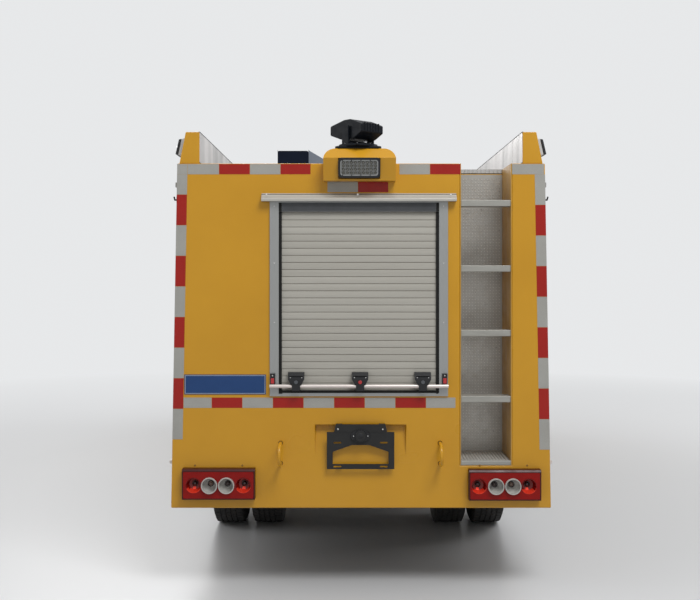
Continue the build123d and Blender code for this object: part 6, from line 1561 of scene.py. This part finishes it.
for vertex in bumperPiece.data.vertices:
    past = vertex.co.y - front["drawFrom"]
    if past > 0:
        vertex.co.y -= past / (front["bumper"] - front["drawFrom"]) * front["draw"]
skinY = front["bumper"] - front["draw"]
fogRings, fogBowls, vents, plates, edges = (bmesh.new() for each in range(5))
for side in (-1, 1):
    place = (side * front["fogX"], skinY, front["fogZ"])
    for bm, profile, steps in ((fogRings, front["fogRing"], 48), (fogBowls, front["fogBowl"], 40)):
        ring = [(along, share * front["fogRadius"]) for along, share in profile]
        addSpun(bm, ring, place, forwards, steps)
    (x0, x1), (z0, z1) = spanOf(side, *front["vents"]), front["ventZ"]
    addBlock(vents, (x0, skinY - 0.001, z0), (x1, skinY + 0.0010, z1))
    for row in range(front["ventBars"]):
        z = z0 + 0.008 + row * (z1 - z0 - 0.016) / (front["ventBars"] - 1)
        addBlock(vents, (x0, skinY, z - 0.0030), (x1, skinY + 0.0040, z + 0.0030))
half, low, high = front["plate"]
addBlock(plates, (-half, skinY - 0.0005, low), (half, skinY + 0.0024, high))
edge = front["plateEdge"]
for a0, c0, a1, c1 in (
    (-half, low, half, low + edge), (-half, high - edge, half, high),
    (-half, low, -half + edge, high), (half - edge, low, half, high),
):
    addBlock(edges, (a0, skinY, c0), (a1, skinY + 0.0032, c1))
finishPiece(fogRings, "fogLampRings", blackPlastic, "root")
finishPiece(fogBowls, "fogLampBowls", reflector, "root", smooth=50)
finishPiece(vents, "bumperVents", blackPlastic, "root", bevel=0.0006)
finishPiece(plates, "blankFrontPlate", plateWhite, "root", bevel=0.0008)
finishPiece(edges, "blankPlateBorder", blackPlastic, "root", bevel=0.0004)
# a ribbed black sheet closes the bumper's top
treadSheet = bmesh.new()
(x0, y0, z0), (x1, y1, z1) = front["tread"]
addBlock(treadSheet, (x0, y0, z0), (x1, y1, z1))
for rib in range(front["treadRibs"]):
    y = y0 + 0.02 + rib * (y1 - y0 - 0.04) / (front["treadRibs"] - 1)
    addBlock(treadSheet, (x0 + 0.03, y - 0.004, z1 - 0.0005), (x1 - 0.03, y + 0.004, z1 + 0.0022))
finishPiece(treadSheet, "bumperTread", blackPlastic, "root", bevel=0.0008)

# Mud flaps behind the front wheels
flap = {"x": (0.600, 0.846), "y": (1.4245, 1.4305), "z": (0.215, 0.640), "ribs": 6}
flaps = bmesh.new()
for side in (-1, 1):
    (x0, x1), (y0, y1), (z0, z1) = spanOf(side, *flap["x"]), flap["y"], flap["z"]
    addBlock(flaps, (x0, y0, z0), (x1, y1, z1))
    for rib in range(flap["ribs"]):
        x = x0 + (rib + 0.5) * (x1 - x0) / flap["ribs"]
        addBlock(flaps, (x - 0.005, y0 - 0.003, z0 + 0.03), (x + 0.005, y0 + 0.001, z1 - 0.03))
finishPiece(flaps, "mudFlaps", rubber, "root", bevel=0.0012)
print("front dressed")

# Inside: dashboard with its binnacle, steering wheel, seats
inside = {
    "binnacle": ((0.345, 2.640, 1.225), (0.700, 2.790, 1.272)),
    "dials": (0.450, 0.590), "dialY": 2.712, "dialZ": 1.2720,
    "dial": ((0.0, 0.0), (0.0, 0.046), (0.004, 0.046), (0.0045, 0.042), (0.0015, 0.040), (0.0015, 0.0)),
}
softCopy("dashboard", "dashboardSkin", trimGrey, "cab", 0.012, segments=3)
softCopy("steering_wheel", "steeringRim", blackPlastic, "cab", 0.002)
binnacle, dials = bmesh.new(), bmesh.new()
addBlock(binnacle, *inside["binnacle"])
for x in inside["dials"]:
    addSpun(dials, inside["dial"], (x, inside["dialY"], inside["dialZ"]), upwards, 36)
finishPiece(binnacle, "dashBinnacle", blackPlastic, "cab", bevel=0.010, segments=3)
finishPiece(dials, "dashDials", greyPlastic, "cab")

seats = {
    "fronts": ((-0.745, -0.335, 2.230), (-0.215, 0.215, 2.200), (0.335, 0.745, 2.230)),
    "cushionY": 1.770, "cushionZ": (1.170, 1.290), "backY": (1.640, 1.769), "backZ": (1.195, 1.705),
    "restZ": (1.745, 1.895), "restHalf": 0.125, "plinth": 0.022, "inset": 0.013, "round": 0.024,
    "benchX": 0.745, "benchY": (0.480, 1.010), "benchZ": (1.200, 1.320), "benchBackY": (0.346, 0.479),
    "benchRests": (-0.50, 0.0, 0.50), "channel": 0.0075, "channelWide": 0.0070,
    "seams": 0.085, "benchSeams": (-0.25, 0.25), "posts": 0.055, "postRadius": 0.0055, "postInto": 0.05,
}
padding = {"voxel": 0.012, "pressure": 4.0, "frames": 20, "cap": 0.024, "fill": 0.8, "falloff": 2.718}


def addPad(bm, low, high):
    # a rounded block a little smaller than the space the pad may fill
    block = bmesh.new()
    trim = seats["inset"]
    addBlock(block, [c + trim for c in low], [c - trim for c in high])
    bevelEdges(block, seats["round"], 3)
    mergeInto(bm, block)


def swellPads(bm, name, seams, replaces=()):
    # voxel remesh, a short pressure simulation, its result kept, then one subdivision and the seams
    mesh = bpy.data.meshes.new(name)
    bm.to_mesh(mesh)
    bm.free()
    pads = bpy.data.objects.new(name, mesh)
    bpy.context.scene.collection.objects.link(pads)
    remesh = pads.modifiers.new("voxels", "REMESH")
    remesh.mode = "VOXEL"
    remesh.voxel_size = padding["voxel"]
    graph = bpy.context.evaluated_depsgraph_get()
    pads.data = bpy.data.meshes.new_from_object(pads.evaluated_get(graph))
    pads.modifiers.clear()
    cloth = pads.modifiers.new("swell", "CLOTH")
    cloth.settings.use_pressure = True
    cloth.settings.uniform_pressure_force = padding["pressure"]
    cloth.settings.effector_weights.gravity = 0.0
    cloth.point_cache.frame_start, cloth.point_cache.frame_end = 1, padding["frames"]
    for step in range(1, padding["frames"] + 1):
        bpy.context.scene.frame_set(step)
    graph = bpy.context.evaluated_depsgraph_get()
    swollen = [v.co.copy() for v in pads.evaluated_get(graph).data.vertices]
    pads.modifiers.clear()
    for vertex, grown in zip(pads.data.vertices, swollen):
        move = grown - vertex.co
        vertex.co = vertex.co + move * min(1.0, padding["cap"] / max(move.length, 1e-9))
    bpy.context.scene.frame_set(1)
    smooth = bmesh.new()
    smooth.from_mesh(pads.data)
    for turn in range(2):
        bmesh.ops.smooth_vert(
            smooth, verts=smooth.verts[:], factor=0.5, use_axis_x=True, use_axis_y=True, use_axis_z=True,
        )
    smooth.to_mesh(pads.data)
    smooth.free()
    divide = pads.modifiers.new("divide", "SUBSURF")
    divide.levels = divide.render_levels = 1
    graph = bpy.context.evaluated_depsgraph_get()
    pads.data = bpy.data.meshes.new_from_object(pads.evaluated_get(graph))
    pads.modifiers.clear()
    pads.data.name = name
    normals = [v.normal.copy() for v in pads.data.vertices]
    for vertex, normal in zip(pads.data.vertices, normals):
        gap = min(abs(vertex.co.x - x) for x in seams)
        if gap < 3 * seats["channelWide"]:
            depth = seats["channel"] * padding["falloff"] ** (-(gap / seats["channelWide"]) ** 2)
            vertex.co = vertex.co - normal * depth
    pads.data.shade_smooth()
    pads.data.materials.clear()
    pads.data.materials.append(seatCloth.material)
    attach(pads, "cab")
    if replaces:
        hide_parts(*replaces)


cushions, backs, plinths, posts = (bmesh.new() for each in range(4))


def addHeadrest(bm, x, y0, y1):
    # the pad over a backrest and its two posts
    (z0, z1), half = seats["restZ"], seats["restHalf"]
    addPad(bm, (x - half, y0 + 0.010, z0), (x + half, y1 - 0.010, z1))
    for way in (-1, 1):
        postX, y = x + way * seats["posts"], (y0 + y1) / 2
        foot, head = seats["backZ"][1] - seats["postInto"], z0 + seats["postInto"]
        addRod(posts, (postX, y, foot), (postX, y, head), seats["postRadius"], 16)


frontSeams = []
for x0, x1, frontY in seats["fronts"]:
    middle = (x0 + x1) / 2
    frontSeams += [middle - seats["seams"], middle + seats["seams"]]
    addPad(
        cushions, (x0, seats["cushionY"] + 0.002, seats["cushionZ"][0]), (x1, frontY, seats["cushionZ"][1]),
    )
    addPad(backs, (x0, seats["backY"][0], seats["backZ"][0]), (x1, seats["backY"][1], seats["backZ"][1]))
    addHeadrest(backs, middle, *seats["backY"])
    floorZ = min(v.co.z for v in cadNodes["front_seats"].data.vertices if x0 < v.co.x < x1)
    inner = seats["plinth"]
    addBlock(
        plinths, (x0 + inner, seats["cushionY"] + 0.004, floorZ),
        (x1 - inner, frontY - 0.032, seats["cushionZ"][0] + 0.010),
    )
benchCushions, benchBacks = bmesh.new(), bmesh.new()
(y0, y1), (b0, b1), half = seats["benchY"], seats["benchBackY"], seats["benchX"]
addPad(benchCushions, (-half, y0 + 0.002, seats["benchZ"][0]), (half, y1, seats["benchZ"][1]))
addPad(benchBacks, (-half, b0, seats["benchZ"][0] + 0.020), (half, b1, seats["backZ"][1]))
for x in seats["benchRests"]:
    addHeadrest(benchBacks, x, b0, b1)
floorZ = min(v.co.z for v in cadNodes["rear_bench"].data.vertices)
addBlock(
    plinths, (-half + 0.007, b0 + 0.002, floorZ), (half - 0.007, y1 - 0.032, seats["benchZ"][0] + 0.010),
)
swellPads(cushions, "frontCushions", frontSeams, ("front_seats",))
swellPads(backs, "frontBacks", frontSeams)
swellPads(benchCushions, "benchCushions", seats["benchSeams"], ("rear_bench",))
swellPads(benchBacks, "benchBacks", seats["benchSeams"])
finishPiece(plinths, "seatPlinths", blackPlastic, "cab", bevel=0.006)
finishPiece(posts, "headrestPosts", boltSteel, "cab")
print("seats padded")

# Lights, world and floor
lights = {
    "key": {"place": (2.0, -6.6, 7.0), "aim": (0, -1.8, 0.9), "size": (3.2, 2.6), "watts": 360},
    "leftFill": {"place": (-6.5, -3.0, 4.2), "aim": (0, 0, 0.9), "size": (4.0, 4.0), "watts": 150},
    "front": {"place": (-3.0, 7.5, 5.5), "aim": (0, 1.0, 0.9), "size": (5.0, 4.0), "watts": 260},
    "rightFill": {"place": (6.5, 2.5, 4.5), "aim": (0, 0, 0.9), "size": (4.0, 4.0), "watts": 190},
}
for name, lamp in lights.items():
    data = bpy.data.lights.new(name, "AREA")
    data.shape = "RECTANGLE"
    data.size, data.size_y = lamp["size"]
    data.energy = lamp["watts"]
    lampObject = bpy.data.objects.new(name, data)
    lampObject.location = lamp["place"]
    toward = Vector(lamp["aim"]) - Vector(lamp["place"])
    lampObject.rotation_euler = toward.to_track_quat("-Z", "Y").to_euler()
    bpy.context.scene.collection.objects.link(lampObject)

# the pale background is shown to camera, glossy and transmission rays; the soft light falls on the rest
studio = {"soft": (0.84, 0.84, 0.83), "softLevel": 0.54, "shown": (0.80, 0.81, 0.82), "floor": 60.0}
shownRays = ("Is Camera Ray", "Is Glossy Ray", "Is Transmission Ray")
world = bpy.data.worlds.new("studio")
world.use_nodes = True
bpy.context.scene.world = world
worldNodes, worldLinks = world.node_tree.nodes, world.node_tree.links
soft = worldNodes["Background"]
soft.inputs["Color"].default_value = (*studio["soft"], 1.0)
soft.inputs["Strength"].default_value = studio["softLevel"]
seen = worldNodes.new("ShaderNodeBackground")
seen.inputs["Color"].default_value = (*studio["shown"], 1.0)
ray = worldNodes.new("ShaderNodeLightPath")
blend = worldNodes.new("ShaderNodeMixShader")
shown = ray.outputs[shownRays[0]]
for kind in shownRays[1:]:
    either = worldNodes.new("ShaderNodeMath")
    either.operation = "MAXIMUM"
    worldLinks.new(shown, either.inputs[0])
    worldLinks.new(ray.outputs[kind], either.inputs[1])
    shown = either.outputs["Value"]
worldLinks.new(shown, blend.inputs["Fac"])
worldLinks.new(soft.outputs["Background"], blend.inputs[1])
worldLinks.new(seen.outputs["Background"], blend.inputs[2])
worldLinks.new(blend.outputs["Shader"], worldNodes["World Output"].inputs["Surface"])

floor = bmesh.new()
bmesh.ops.create_circle(floor, cap_ends=True, radius=studio["floor"], segments=96)
bmesh.ops.recalc_face_normals(floor, faces=floor.faces[:])
floorMesh = bpy.data.meshes.new("studioFloor")
floor.to_mesh(floorMesh)
floor.free()
floorObject = bpy.data.objects.new("studioFloor", floorMesh)
bpy.context.scene.collection.objects.link(floorObject)
floorFinish = Finish("floorFinish", Specular_IOR_Level=0.4)
floorFinish.colour(floorFinish.mix(floorFinish.noise(0.5, 2.0), (0.545, 0.55, 0.56), (0.565, 0.57, 0.58)))
floorFinish.roughness(floorFinish.noise(0.4, 1.0), 0.34, 0.38)
floorMesh.materials.append(floorFinish.material)
fade = {"near": 2.8, "far": 9.0}  # the floor turns into the background between these radii
length = floorFinish.add("VectorMath", operation="LENGTH")
floorFinish.link(floorFinish.coords, length.inputs[0])
away = floorFinish.spread(length.outputs["Value"], fade["near"], fade["far"])
floorRay = floorFinish.add("LightPath").outputs
shown = floorRay[shownRays[0]]
for kind in shownRays[1:]:
    shown = floorFinish.math("MAXIMUM", shown, floorRay[kind])
pale = floorFinish.add("Emission")
pale.inputs["Color"].default_value = (*studio["shown"], 1.0)
blendFloor = floorFinish.add("MixShader")
floorFinish.link(floorFinish.math("MULTIPLY", away, shown), blendFloor.inputs["Fac"])
floorFinish.link(floorFinish.shader.outputs["BSDF"], blendFloor.inputs[1])
floorFinish.link(pale.outputs["Emission"], blendFloor.inputs[2])
floorFinish.link(blendFloor.outputs["Shader"], floorFinish.tree.nodes["Material Output"].inputs["Surface"])
print("stage and lights set")
